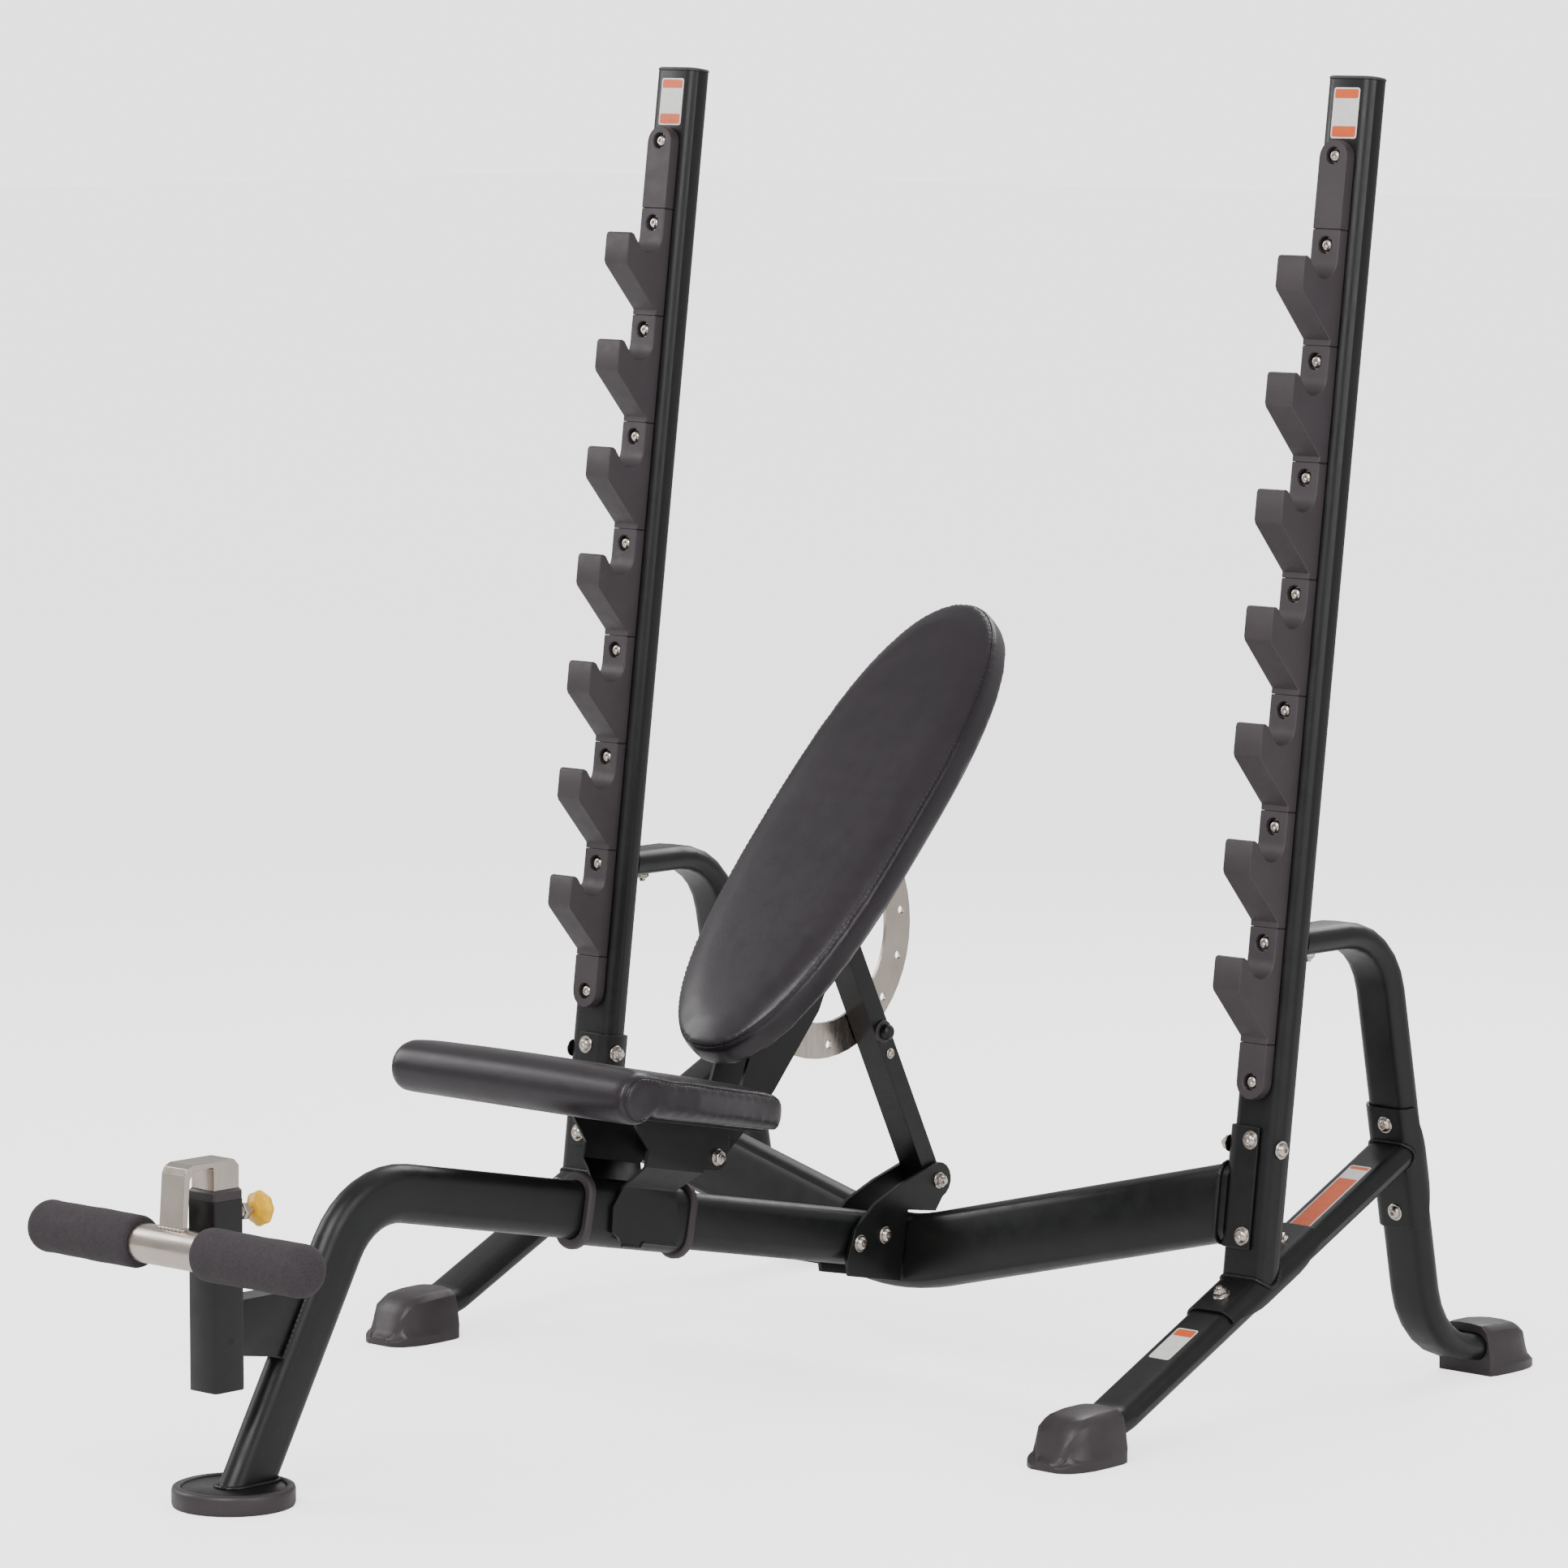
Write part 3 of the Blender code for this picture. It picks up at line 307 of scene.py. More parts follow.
FINISH = {
    "frame_black": powder_coat(),
    "rack_plastic": moulded("rack_plastic", (0.0370, 0.0285, 0.0325), 0.50, 900.0, 0.00014),
    "boot_rubber": moulded("boot_rubber", (0.0340, 0.0265, 0.0300), 0.42, 700.0, 0.00016),
    "nickel": plated(),
    "bolt": bright_plated(),
    "pad_vinyl": vinyl(),
    "thread": thread(),
    "roller_foam": foam(),
    "knob_yellow": knob_plastic(),
    "board": moulded("board_black", (0.0060, 0.0056, 0.0060), 0.62, 500.0, 0.00025),
    "label_white": sticker("label_white", (0.78, 0.77, 0.75)),
    "label_orange": sticker("label_orange", (0.74, 0.105, 0.016)),
}


# ---------------------------------------------------------------- mesh helpers
def arc(cx, cy, radius, start, end, steps):
    """Points on an arc, angles in degrees."""
    turn = [radians(start + (end - start) * i / steps) for i in range(steps + 1)]
    return [(cx + radius * cos(a), cy + radius * sin(a)) for a in turn]


def oval(width, depth, radius, steps=8):
    """Closed outline of a rounded rectangle, counter-clockwise."""
    points = []
    for sx, sy, start in ((1, 1, 0), (-1, 1, 90), (-1, -1, 180), (1, -1, 270)):
        cx, cy = sx * (width / 2 - radius), sy * (depth / 2 - radius)
        points += arc(cx, cy, radius, start, start + 90, steps)
    return [p for i, p in enumerate(points)
            if (Vector(p) - Vector(points[i - 1])).length > 1e-5]


def skin(bm, rings, closed=False, caps=True):
    """Wrap quads around equal rings; caps closes the two ends."""
    made = [[bm.verts.new(p) for p in ring] for ring in rings]
    count = len(made[0])
    for r in range(len(made) if closed else len(made) - 1):
        low, high = made[r], made[(r + 1) % len(made)]
        for i in range(count):
            j = (i + 1) % count
            bm.faces.new((low[i], low[j], high[j], high[i]))
    if caps and not closed:
        bm.faces.new(made[0])
        bm.faces.new(list(reversed(made[-1])))
    return made


def placer(point, axis):
    """place(a, b, h): h along the axis from the point, a and b square to it."""
    axis = Vector(axis).normalized()
    side = (X_AXIS if abs(axis.x) < 0.9 else Z_AXIS).cross(axis).normalized()
    other = axis.cross(side)
    return lambda a, b, h: point + side * a + other * b + axis * h


def turned(bm, rows, place, steps=24):
    """A body of revolution; a row is (radius, height) or (flats radius, height, 6) for a hexagon."""
    rings = []
    for row in rows:
        radius, height = row[0], row[1]
        ring = []
        for i in range(steps):
            a = 2 * pi * i / steps
            grow = 1.0 / cos((a + pi / 6) % (pi / 3) - pi / 6) if len(row) > 2 else 1.0
            reach = max(radius, 1e-5) * grow
            ring.append(place(reach * cos(a), reach * sin(a), height))
        rings.append(ring)
    skin(bm, rings)


def piece(name, bm, finish, body, bevel=0.0, smooth=35.0):
    """Turn a bmesh into an object that rides on a body."""
    bmesh.ops.remove_doubles(bm, verts=bm.verts, dist=2e-6)
    bmesh.ops.recalc_face_normals(bm, faces=bm.faces)
    mesh = bpy.data.meshes.new(name)
    bm.to_mesh(mesh)
    bm.free()
    for face in mesh.polygons:
        face.use_smooth = True
    mesh.set_sharp_from_angle(angle=radians(smooth))
    mesh.materials.append(FINISH[finish])
    made = bpy.data.objects.new(name, mesh)
    SCENE.collection.objects.link(made)
    if bevel:
        soften = made.modifiers.new("edges", "BEVEL")
        soften.width = bevel
        soften.segments = 2
        soften.limit_method = "ANGLE"
        soften.angle_limit = radians(smooth)
        soften.harden_normals = True
    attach(made, body)
    return made


def bead(bm, path, radius, closed=True):
    """A weld: a lumpy cord laid along a path."""
    points = []
    spans = len(path) if closed else len(path) - 1
    for i in range(spans):
        a, b = path[i], path[(i + 1) % len(path)]
        parts = max(1, round((b - a).length / 0.0022))
        points += [a.lerp(b, k / parts) for k in range(parts)]
    if not closed:
        points.append(path[-1])
    rings = []
    for i, here in enumerate(points):
        before = points[i - 1] if closed or i else here
        after = points[(i + 1) % len(points)] if closed or i + 1 < len(points) else here
        place = placer(here, after - before)
        lump = radius * (0.86 + 0.20 * sin(i * 2.1) ** 2)
        turn = [k * pi / 4 for k in range(8)]
        rings.append([place(lump * cos(a), lump * sin(a), 0.0) for a in turn])
    skin(bm, rings, closed=closed)


# ---------------------------------------------------------------- fasteners
def button_head(bm, point, axis, size=1.0, washer=True, rise=0.0):
    """Domed socket screw, with its washer if asked, or on a collar that lifts it by rise."""
    rows = [(0.0, 0.0), (0.0112, 0.0), (0.0112, 0.0012), (0.0106, 0.0017), (0.0090, 0.0017)]
    base = 0.0017
    if not washer:
        rows, base = [(0.0, 0.0), (0.0094, 0.0), (0.0094, rise)], rise
    rows += [(0.0086, base), (0.0086, base + 0.0010), (0.0079, base + 0.0026),
             (0.0064, base + 0.0042), (0.0048, base + 0.0050), (0.0042, base + 0.0051),
             (0.0029, base + 0.0050, 6), (0.0028, base + 0.0018, 6), (0.0, base + 0.0014)]
    scaled = [(row[0] * size, row[1] * size, *row[2:]) for row in rows]
    turned(bm, scaled, placer(point, axis))


def lock_nut(bm, point, axis, size=1.0):
    """Washer, hexagon nut and the end of its bolt."""
    rows = [(0.0, 0.0), (0.0112, 0.0), (0.0112, 0.0012), (0.0106, 0.0017), (0.0084, 0.0017),
            (0.0080, 0.0018, 6), (0.0084, 0.0026, 6), (0.0084, 0.0066, 6), (0.0076, 0.0074, 6),
            (0.0066, 0.0078), (0.0060, 0.0094), (0.0046, 0.0098), (0.0044, 0.0098),
            (0.0044, 0.0120), (0.0036, 0.0128), (0.0, 0.0129)]
    turned(bm, [(row[0] * size, row[1] * size, *row[2:]) for row in rows], placer(point, axis))


def screws(name, body, buttons, nuts=()):
    """One piece made of several screws and nuts: each is (point, axis, size[, washer])."""
    bm = bmesh.new()
    for item in buttons:
        button_head(bm, *item)
    for item in nuts:
        lock_nut(bm, *item)
    return piece(name, bm, "bolt", body)


def pivot_bolt(name, node, body):
    """Bolt of a hinge, in place of its plain CAD solid."""
    low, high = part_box(node)
    y, z = (low.y + high.y) / 2, (low.z + high.z) / 2
    left, right = low.x + 0.0060, high.x - 0.0060
    bm = bmesh.new()
    turned(bm, [(0.0, left), (0.0060, left), (0.0060, right), (0.0, right)],
           placer(Vector((0.0, y, z)), X_AXIS))
    button_head(bm, Vector((left, y, z)), -X_AXIS, 0.95)
    lock_nut(bm, Vector((right, y, z)), X_AXIS, 0.95)
    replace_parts(piece(name, bm, "bolt", body), node)


# ---------------------------------------------------------------- frame: softened copies of the CAD
def softened(node, width, smooth=30.0):
    """The CAD node's own shape with its edges rounded and its curves shaded smooth."""
    source = nodes[node]
    bm = bmesh.new()
    bm.from_mesh(source.data)
    bmesh.ops.remove_doubles(bm, verts=bm.verts, dist=2e-6)
    bmesh.ops.dissolve_limit(bm, angle_limit=radians(0.4), verts=bm.verts, edges=bm.edges)
    slot = source.data.materials[0].name.split(".")[0]
    made = piece(node + "_shell", bm, slot, source["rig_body"], width, smooth)
    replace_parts(made, node)
    return made


CUSTOM = {"back_pad", "seat_pad", "foam_roller_left", "foam_roller_right", "leg_pin",
          "pivot_bolt_a", "pivot_bolt_b", "pivot_bolt_c"}
EDGE = {"rack": 0.0014, "hook": 0.0014, "boot": 0.0020, "quadrant": 0.0005, "post": 0.0010}
for name in sorted(nodes):
    if name not in CUSTOM:
        width = next((w for key, w in EDGE.items() if key in name), 0.0008)
        softened(name, width)


# ---------------------------------------------------------------- saddles, brackets and their bolts
def saddle(name, rows, section):
    """Plate bent over one side of a tube. A row is (centre, tangent, degrees it wraps past flat)."""
    width, depth, radius = section
    flat = width / 2 - radius
    bm = bmesh.new()
    rings = []
    for centre, tangent, wrap in rows:
        normal = X_AXIS.cross(tangent).normalized()
        layers = []
        for grow in (0.0044, 0.0004):
            reach = radius + grow
            layers.append(arc(flat, 0.0, reach, -wrap, 90, 10)
                          + arc(-flat, 0.0, reach, 90, 180 + wrap, 10))
        outline = layers[0] + list(reversed(layers[1]))
        rings.append([centre + X_AXIS * a + normal * b for a, b in outline])
    skin(bm, rings)
    return piece(name, bm, "frame_black", "frame", 0.0010)


def half_depth(x, section, extra):
    width, depth, radius = section
    over = max(0.0, abs(x) - (width / 2 - radius))
    big = radius + extra
    return depth / 2 - radius + sqrt(max(0.0, big * big - over * over))


def onto(point, along, centre, normal, section, extra, middle):
    """Slide a point along a tube until it meets the surface of another tube."""
    short = half_depth(point.x - middle, section, extra) - (point - centre).dot(normal)
    return point + along * (short / along.dot(normal))


def smooth_step(t):
    t = max(0.0, min(1.0, t))
    return t * t * (3 - 2 * t)


def side_details(side, x, sign):
    """Everything that repeats on the left and the right of the frame."""
    # saddle under the upright, welded to it
    rows = []
    for i in range(15):
        t = i / 14
        wrap = -12 + 44 * smooth_step(t / 0.35) * smooth_step((1 - t) / 0.30)
        rows.append((rail_at(-0.226 + 0.178 * t, x), RAIL_ALONG, wrap))
    saddle("rail_saddle_" + side, rows, RAIL)
    rows = []
    for i in range(15):
        t = i / 14
        wrap = -8 + 38 * smooth_step(t / 0.4) * smooth_step((1 - t) / 0.4)
        rows.append((leg_at(0.214 + 0.160 * t, x), LEG_UP, wrap))
    saddle("leg_saddle_" + side, rows, RAIL)
    bm = bmesh.new()
    outline = oval(POST[0] + 0.002, POST[1] + 0.002, POST[2] + 0.001)
    ring = [up(1.36, POST_P, x) + X_AXIS * a + POST_AHEAD * b for a, b in outline]
    centre = rail_at(RAIL_POINT[0], x)
    bead(bm, [onto(p, POST_DOWN, centre, RAIL_UP, RAIL, 0.0050, x) for p in ring], 0.0030)
    outline = oval(RAIL[0] + 0.002, RAIL[1] + 0.002, RAIL[2] + 0.001)
    ring = [rail_at(0.08, x) + X_AXIS * a + RAIL_UP * b for a, b in outline]
    centre = leg_at(0.245, x)
    bead(bm, [onto(p, RAIL_ALONG, centre, LEG_AHEAD, RAIL, 0.0050, x) for p in ring], 0.0028)
    # crossmember to its bracket, up the inner face
    end_x = POST_X - POST[0] / 2 - 0.0060
    slope = tan(CROSS_SLOPE) / cos(LEAN)
    middle = up(CROSS_Q0 - end_x * slope, POST_P, sign * end_x)
    slant = -POST_DOWN / cos(CROSS_SLOPE)
    ring = [middle + POST_AHEAD * a + slant * b
            for a, b in oval(CROSS[0] + 0.002, CROSS[1] + 0.002, CROSS[2] + 0.001)]
    bead(bm, ring, 0.0030)
    # fills the corner between the tube's end and the bend of the bracket
    core = oval(CROSS[0] - 0.0006, CROSS[1] - 0.0006, CROSS[2] - 0.0003)
    skin(bm, [[middle + POST_AHEAD * a + slant * b + X_AXIS * (sign * h) for a, b in core]
              for h in (-0.003, 0.013)])
    piece("welds_" + side, bm, "frame_black", "frame", smooth=80.0)
    # screws in the rack modules
    holes = [0.0] + [RACK_FIRST + RACK_PITCH * k for k in range(7)] + [LAST_BOLT]
    found = []
    for q in holes:
        floor = POCKET_FLOOR if RACK_FIRST - 0.01 < q < LAST_BOLT - 0.01 else RACK_BACK
        found.append((up(q, floor, x), POST_AHEAD, 1.0, False, RACK_SCREW - floor))
    screws("rack_screws_" + side, "frame", found)
    # bracket, saddles and the stub of the rear leg
    top = RAIL[1] / 2 + 0.0044
    buttons = [(up(1.236, BRACKET_FACE, x), POST_AHEAD, 1.05),
               (up(1.357, BRACKET_FACE, x), POST_AHEAD, 1.05),
               (leg_at(0.352, x) + LEG_AHEAD * top, LEG_AHEAD, 1.0),
               (leg_at(0.236, x) + LEG_AHEAD * top, LEG_AHEAD, 1.0)]
    across = Vector((0.0, *THROUGH_BOLT))
    outer = across + X_AXIS * (sign * (POST_X + POST[0] / 2))
    inner = across + X_AXIS * (sign * (POST_X - POST[0] / 2 - 0.0056))
    buttons.append((outer, X_AXIS * sign, 1.05))
    nuts = [(rail_at(-0.197, x) + RAIL_UP * top, RAIL_UP, 1.0),
            (rail_at(-0.083, x) + RAIL_UP * top, RAIL_UP, 1.0),
            (inner, X_AXIS * -sign, 1.0),
            (Vector((x, -0.040 + Y0, 0.605 - RAIL[1] / 2)), -Z_AXIS, 0.95)]
    screws("frame_bolts_" + side, "frame", buttons, nuts)


def label(name, place, size, bands):
    """Blank sticker; place(u, v, h) puts it on the metal, bands are plain coloured stripes."""
    width, length = size
    bm = bmesh.new()
    outline = oval(width, length, 0.0035, 5)
    skin(bm, [[place(a, b, h) for a, b in outline] for h in (0.00015, 0.00040)])
    piece(name + "_label", bm, "label_white", "frame")
    bm = bmesh.new()
    for low, high in bands:
        edge = oval(width - 0.004, high - low, 0.0022, 4)
        middle = (low + high) / 2
        skin(bm, [[place(a, b + middle, h) for a, b in edge] for h in (0.00042, 0.00055)])
    piece(name + "_label_bands", bm, "label_orange", "frame")


def make_labels():
    front = POST_P + POST[1] / 2
    for side, x in (("left", -POST_X), ("right", POST_X)):
        label("upright_" + side, lambda u, v, h: up(-0.0550 - v, front + h, x + u),
              (0.041, 0.064), ((0.0185, 0.0300), (-0.0300, -0.0165)))
    roof = RAIL[1] / 2

    def on_rail(middle):
        return lambda u, v, h: (rail_at(middle, POST_X) + X_AXIS * u + RAIL_ALONG * v
                                + RAIL_UP * (roof + h))
    label("rail_rear", on_rail(0.014), (0.033, 0.148), ((-0.0720, 0.0440), (0.0660, 0.0720)))
    label("rail_front", on_rail(-0.292), (0.033, 0.066), ((0.0170, 0.0310),))


for side_name, side_sign in (("left", -1), ("right", 1)):
    side_details(side_name, side_sign * POST_X, side_sign)
make_labels()


# ---------------------------------------------------------------- middle of the bench
def make_middle():
    buttons = [(bp(s, n, GUSSET_FACE), X_AXIS, 1.0) for s, n in GUSSET_BOLTS]
    nuts = [(bp(s, n, -GUSSET_FACE), -X_AXIS, 1.0) for s, n in GUSSET_BOLTS]
    screws("gusset_bolts", "frame", buttons, nuts)
    bm = bmesh.new()
    for s, n in GUSSET_BOLTS:
        for sign in (-1, 1):
            rows = [(0.0, 0.0188), (0.0115, 0.0188), (0.0115, 0.0213), (0.0, 0.0213)]
            turned(bm, rows, placer(bp(s, n), X_AXIS * sign))
    piece("gusset_spacers", bm, "frame_black", "frame")
    pivot_bolt("hinge_bolt_a", "pivot_bolt_a", "frame")
    pivot_bolt("hinge_bolt_b", "pivot_bolt_b", "link")
    pivot_bolt("hinge_bolt_c", "pivot_bolt_c", "carriage")
    # guide of the locking pin, and the small screw beside it on the link
    way = (bp(BAR * cos(ALPHA), BAR * sin(ALPHA)) - bp(0, 0)).normalized()
    pin = bp(0, 0) + way * (BAR - PIN_R)
    bm = bmesh.new()
    turned(bm, [(0.0104, 0.0202), (0.0150, 0.0202), (0.0150, 0.0226), (0.0138, 0.0236),
                (0.0104, 0.0236)], placer(pin, X_AXIS))
    piece("pin_bush", bm, "rack_plastic", "link")
    screws("link_screw", "link", [(pin - way * 0.034 + X_AXIS * 0.0200, X_AXIS, 0.62)])
    # the plates are welded to the sleeve along their lower edges
    bm = bmesh.new()
    for sign in (-1, 1):
        edge = [bp(s, n, sign * 0.0300) for s, n in
                ((0.4865, -0.1175), (0.548, -0.1175), (0.552, -0.1235), (0.586, -0.1235))]
        bead(bm, edge, 0.0020, closed=False)
    piece("sleeve_welds", bm, "frame_black", "carriage", smooth=80.0)


def make_foot():
    """Steel disc inside the rubber ring, a dark disc of painted shade for its hole, and the weld
    around the beam.
    """
    bm = bmesh.new()
    turned(bm, [(0.0, 0.0196), (0.0622, 0.0196), (0.0622, 0.0214), (0.0612, 0.0220), (0.0, 0.0220)],
           placer(FOOT, Z_AXIS), 64)
    piece("foot_disc", bm, "frame_black", "frame")
    # a thin matte black disc on the steel stands for the drain hole: painted shade in place of an
    # opening
    bm = bmesh.new()
    turned(bm, [(0.0, 0.0215), (0.0046, 0.0215), (0.0046, 0.02215), (0.0, 0.02215)],
           placer(FOOT + Vector((-0.006, -0.049, 0.0)), Z_AXIS))
    piece("foot_hole_painted_shade", bm, "board", "frame")
    bm = bmesh.new()
    rings = []
    for radius, height in ((0.0628, 0.0160), (0.0738, 0.0020), (0.0744, 0.0040), (0.0744, 0.0190),
                           (0.0730, 0.0230), (0.0690, 0.0246), (0.0650, 0.0240), (0.0628, 0.0222)):
        rings.append([FOOT + Vector((radius * cos(a * pi / 32), radius * sin(a * pi / 32), height))
                      for a in range(64)])
    skin(bm, rings, closed=True)
    piece("foot_lip", bm, "boot_rubber", "frame", smooth=60.0)
    corner = bp(BEAM_CORNER_S, BEAM_N)
    lead = Vector((0.0, -cos(LEG_SLOPE), -sin(LEG_SLOPE)))
    side = X_AXIS.cross(lead)
    bm = bmesh.new()
    ring = [corner + X_AXIS * a + side * b
            for a, b in oval(BEAM[0] + 0.003, BEAM[1] + 0.003, BEAM[2])]
    bead(bm, [p + lead * ((0.0228 - p.z) / lead.z) for p in ring], 0.0032)
    # the arm of the hold-down post meets the leg
    slack = (BEAM[1] / 2 + 0.0015) / sin(LEG_SLOPE)
    loop = []
    for dx, z in ((-0.0215, 0.172), (0.0215, 0.172), (0.0215, 0.250), (-0.0215, 0.250)):
        loop.append(Vector((dx, corner.y - (corner.z - z) / tan(LEG_SLOPE) - slack, z)))
    bead(bm, loop, 0.0030)
    piece("welds_front", bm, "frame_black", "frame", smooth=80.0)


def make_plunger():
    """Spring plunger barrel on the post, and the lobed knob that pulls it."""
    base = Vector((0.0, HD_Y + 0.024, PLUNGER_Z))
    back = Vector((0, 1, 0))
    bm = bmesh.new()
    turned(bm, [(0.0, 0.0), (0.0082, 0.0), (0.0082, 0.0150), (0.0078, 0.0155), (0.0090, 0.0160, 6),
                (0.0094, 0.0168, 6), (0.0094, 0.0238, 6), (0.0088, 0.0248, 6), (0.0070, 0.0252),
                (0.0066, 0.0262), (0.0, 0.0262)], placer(base, back))
    piece("plunger_barrel", bm, "nickel", "frame")
    bm = bmesh.new()
    turned(bm, [(0.0, 0.0262), (0.0045, 0.0262), (0.0045, 0.0370), (0.0, 0.0370)],
           placer(base, back))
    piece("plunger_shaft", bm, "nickel", "leg_pin")
    bm = bmesh.new()
    place = placer(base, back)
    rings = []
    for radius, height, lobe in ((0.001, 0.0350, 0.0), (0.0085, 0.0350, 0.0), (0.0100, 0.0362, 0.0),
                                 (0.0125, 0.0385, 0.3), (0.0180, 0.0405, 0.8), (0.0212, 0.0430, 1.0),
                                 (0.0220, 0.0465, 1.0), (0.0213, 0.0500, 1.0), (0.0188, 0.0532, 0.8),
                                 (0.0150, 0.0556, 0.5), (0.0100, 0.0574, 0.2), (0.0050, 0.0583, 0.0),
                                 (0.001, 0.0585, 0.0)):
        ring = []
        for i in range(64):
            a = 2 * pi * i / 64
            reach = radius * (1.0 - 0.085 * lobe * (0.5 - 0.5 * cos(8 * a)))
            ring.append(place(reach * cos(a), reach * sin(a), height))
        rings.append(ring)
    skin(bm, rings)
    knob = piece("plunger_knob", bm, "knob_yellow", "leg_pin", smooth=60.0)
    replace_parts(knob, "leg_pin")
    # dark discs of painted shade for the adjustment hole in each side of the post, and the weld
    # between the strap and the tube
    bm = bmesh.new()
    # thin matte black discs stand for the holes: painted shade in place of openings
    for sign in (-1, 1):
        turned(bm, [(0.0, 0.0236), (0.0042, 0.0236), (0.0042, 0.02415), (0.0, 0.02415)],
               placer(Vector((0.0, HD_Y + 0.002, 0.203)), X_AXIS * sign))
    piece("post_holes_painted_shade", bm, "board", "frame")
    bm = bmesh.new()
    grip = ROLLER.z + 0.0238
    loop = [Vector((a, ROLLER.y + b, grip + c)) for a, b, c in
            ((-0.020, -0.0065, -0.0002), (0.020, -0.0065, -0.0002), (0.0205, 0.0, 0.0005),
             (0.020, 0.0045, 0.0), (-0.020, 0.0045, 0.0), (-0.0205, 0.0, 0.0005))]
    bead(bm, loop, 0.0020)
    piece("strap_weld", bm, "nickel", "hold_down", smooth=80.0)


make_middle()
make_foot()
make_plunger()


# ---------------------------------------------------------------- foam rollers
def make_rollers():
    low, high = ROLLER_X
    for side, sign in (("left", -1), ("right", 1)):
        rows = [(0.0128, low + 0.0006), (0.0280, low + 0.0006), (0.0306, low + 0.0022),
                (0.0317, low + 0.0060)]
        for i in range(1, 20):
            t = i / 20
            swell = 0.0003 * sin(7 * t + sign) + 0.0002 * sin(19 * t)
            rows.append((ROLLER_R + swell - 0.0002, low + 0.006 + (high - low - 0.029) * t))
        for k in range(11):
            a = k * pi / 20
            rows.append((ROLLER_R - 0.022 + 0.022 * cos(a), high - 0.022 + 0.0215 * sin(a)))
        rows += [(0.005, high - 0.0003), (0.0, high - 0.0002)]
        bm = bmesh.new()
        place = placer(ROLLER, X_AXIS * sign)
        turned(bm, rows, place, 56)
        foam_piece = piece("foam_grip_" + side, bm, "roller_foam", "roller_" + side,
                           smooth=70.0)
        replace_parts(foam_piece, "foam_roller_" + side)


make_rollers()


# ---------------------------------------------------------------- upholstery
def inflate(pad, pinned, cap):
    """Blow the cover up a little over its foam, holding the underside, and keep it within cap."""
    rest = [v.co.copy() for v in pad.data.vertices]
    held = pad.vertex_groups.new(name="held")
    held.add([i for i, co in enumerate(rest) if pinned(co)], 1.0, "REPLACE")
    cloth = pad.modifiers.new("cloth", "CLOTH")
    settings = cloth.settings
    settings.quality = 5
    settings.use_pressure = True
    settings.uniform_pressure_force = 4.0
    settings.vertex_group_mass = "held"
    settings.effector_weights.gravity = 0.0
    cloth.collision_settings.use_collision = False
    cloth.point_cache.frame_start = 1
    cloth.point_cache.frame_end = 20
    for number in range(1, 21):
        SCENE.frame_set(number)
    shape = pad.evaluated_get(bpy.context.evaluated_depsgraph_get()).to_mesh()
    moved = [v.co.copy() for v in shape.vertices]
    pad.modifiers.remove(cloth)
    SCENE.frame_set(1)
    ways = [v.normal.copy() for v in pad.data.vertices]
    swell = [min(cap, max(0.0, (end - start).dot(way)))
             for start, end, way in zip(rest, moved, ways)]
    # keep the broad swelling and drop the small creases, because the real cover is pulled tight
    near = [[] for _ in rest]
    for edge in pad.data.edges:
        a, b = edge.vertices
        near[a].append(b)
        near[b].append(a)
    for _ in range(30):
        swell = [0.5 * here + 0.5 * sum(swell[j] for j in near[i]) / len(near[i])
                 for i, here in enumerate(swell)]
    for vert, start, way, amount in zip(pad.data.vertices, rest, ways, swell):
        vert.co = start + way * amount


def upholster(name, rings, body, node, pinned, cap, voxel):
    """A padded cover made from a closed skin: remeshed, inflated and smoothed."""
    bm = bmesh.new()
    skin(bm, rings)
    bmesh.ops.triangulate(bm, faces=[f for f in bm.faces if len(f.verts) > 4])
    pad = piece(name, bm, "pad_vinyl", body, smooth=180.0)
    pad.parent = None
    remesh = pad.modifiers.new("remesh", "REMESH")
    remesh.mode = "VOXEL"
    remesh.voxel_size = voxel
    bpy.context.view_layer.update()
    mesh = bpy.data.meshes.new_from_object(pad.evaluated_get(bpy.context.evaluated_depsgraph_get()))
    pad.modifiers.clear()
    pad.data = mesh
    inflate(pad, pinned, cap)
    bm = bmesh.new()
    bm.from_mesh(pad.data)
    for _ in range(4):
        bmesh.ops.smooth_vert(bm, verts=bm.verts, factor=0.4, use_axis_x=True, use_axis_y=True,
                              use_axis_z=True)
    bm.to_mesh(pad.data)
    bm.free()
    finer = pad.modifiers.new("finer", "SUBSURF")
    finer.levels = finer.render_levels = 1
    mesh = bpy.data.meshes.new_from_object(pad.evaluated_get(bpy.context.evaluated_depsgraph_get()))
    pad.modifiers.clear()
    pad.data = mesh
    pad.data.materials.clear()
    pad.data.materials.append(FINISH["pad_vinyl"])
    for face in pad.data.polygons:
        face.use_smooth = True
    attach(pad, body)
    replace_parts(pad, node)
    return pad


def press_seam(pad, path, depth, width):
    """Pull the cover in along a seam and give back the seam laid on the surface, with normals."""
    tree = BVHTree.FromPolygons([v.co for v in pad.data.vertices],
                                [p.vertices[:] for p in pad.data.polygons])
    laid = []
    for point in path:
        place, normal, _, _ = tree.find_nearest(point)
        laid.append((place, normal))
    bins = {}
    for place, normal in laid:
        key = tuple(round(c / 0.02) for c in place)
        bins.setdefault(key, []).append((place, normal))
    for vert in pad.data.vertices:
        key = tuple(round(c / 0.02) for c in vert.co)
        near = None
        for dx in (-1, 0, 1):
            for dy in (-1, 0, 1):
                for dz in (-1, 0, 1):
                    for place, normal in bins.get((key[0] + dx, key[1] + dy, key[2] + dz), ()):
                        gap = (vert.co - place).length
                        if near is None or gap < near[0]:
                            near = (gap, normal)
        if near and near[0] < 3 * width:
            vert.co -= near[1] * (depth * exp(-(near[0] / width) ** 2))
    return laid


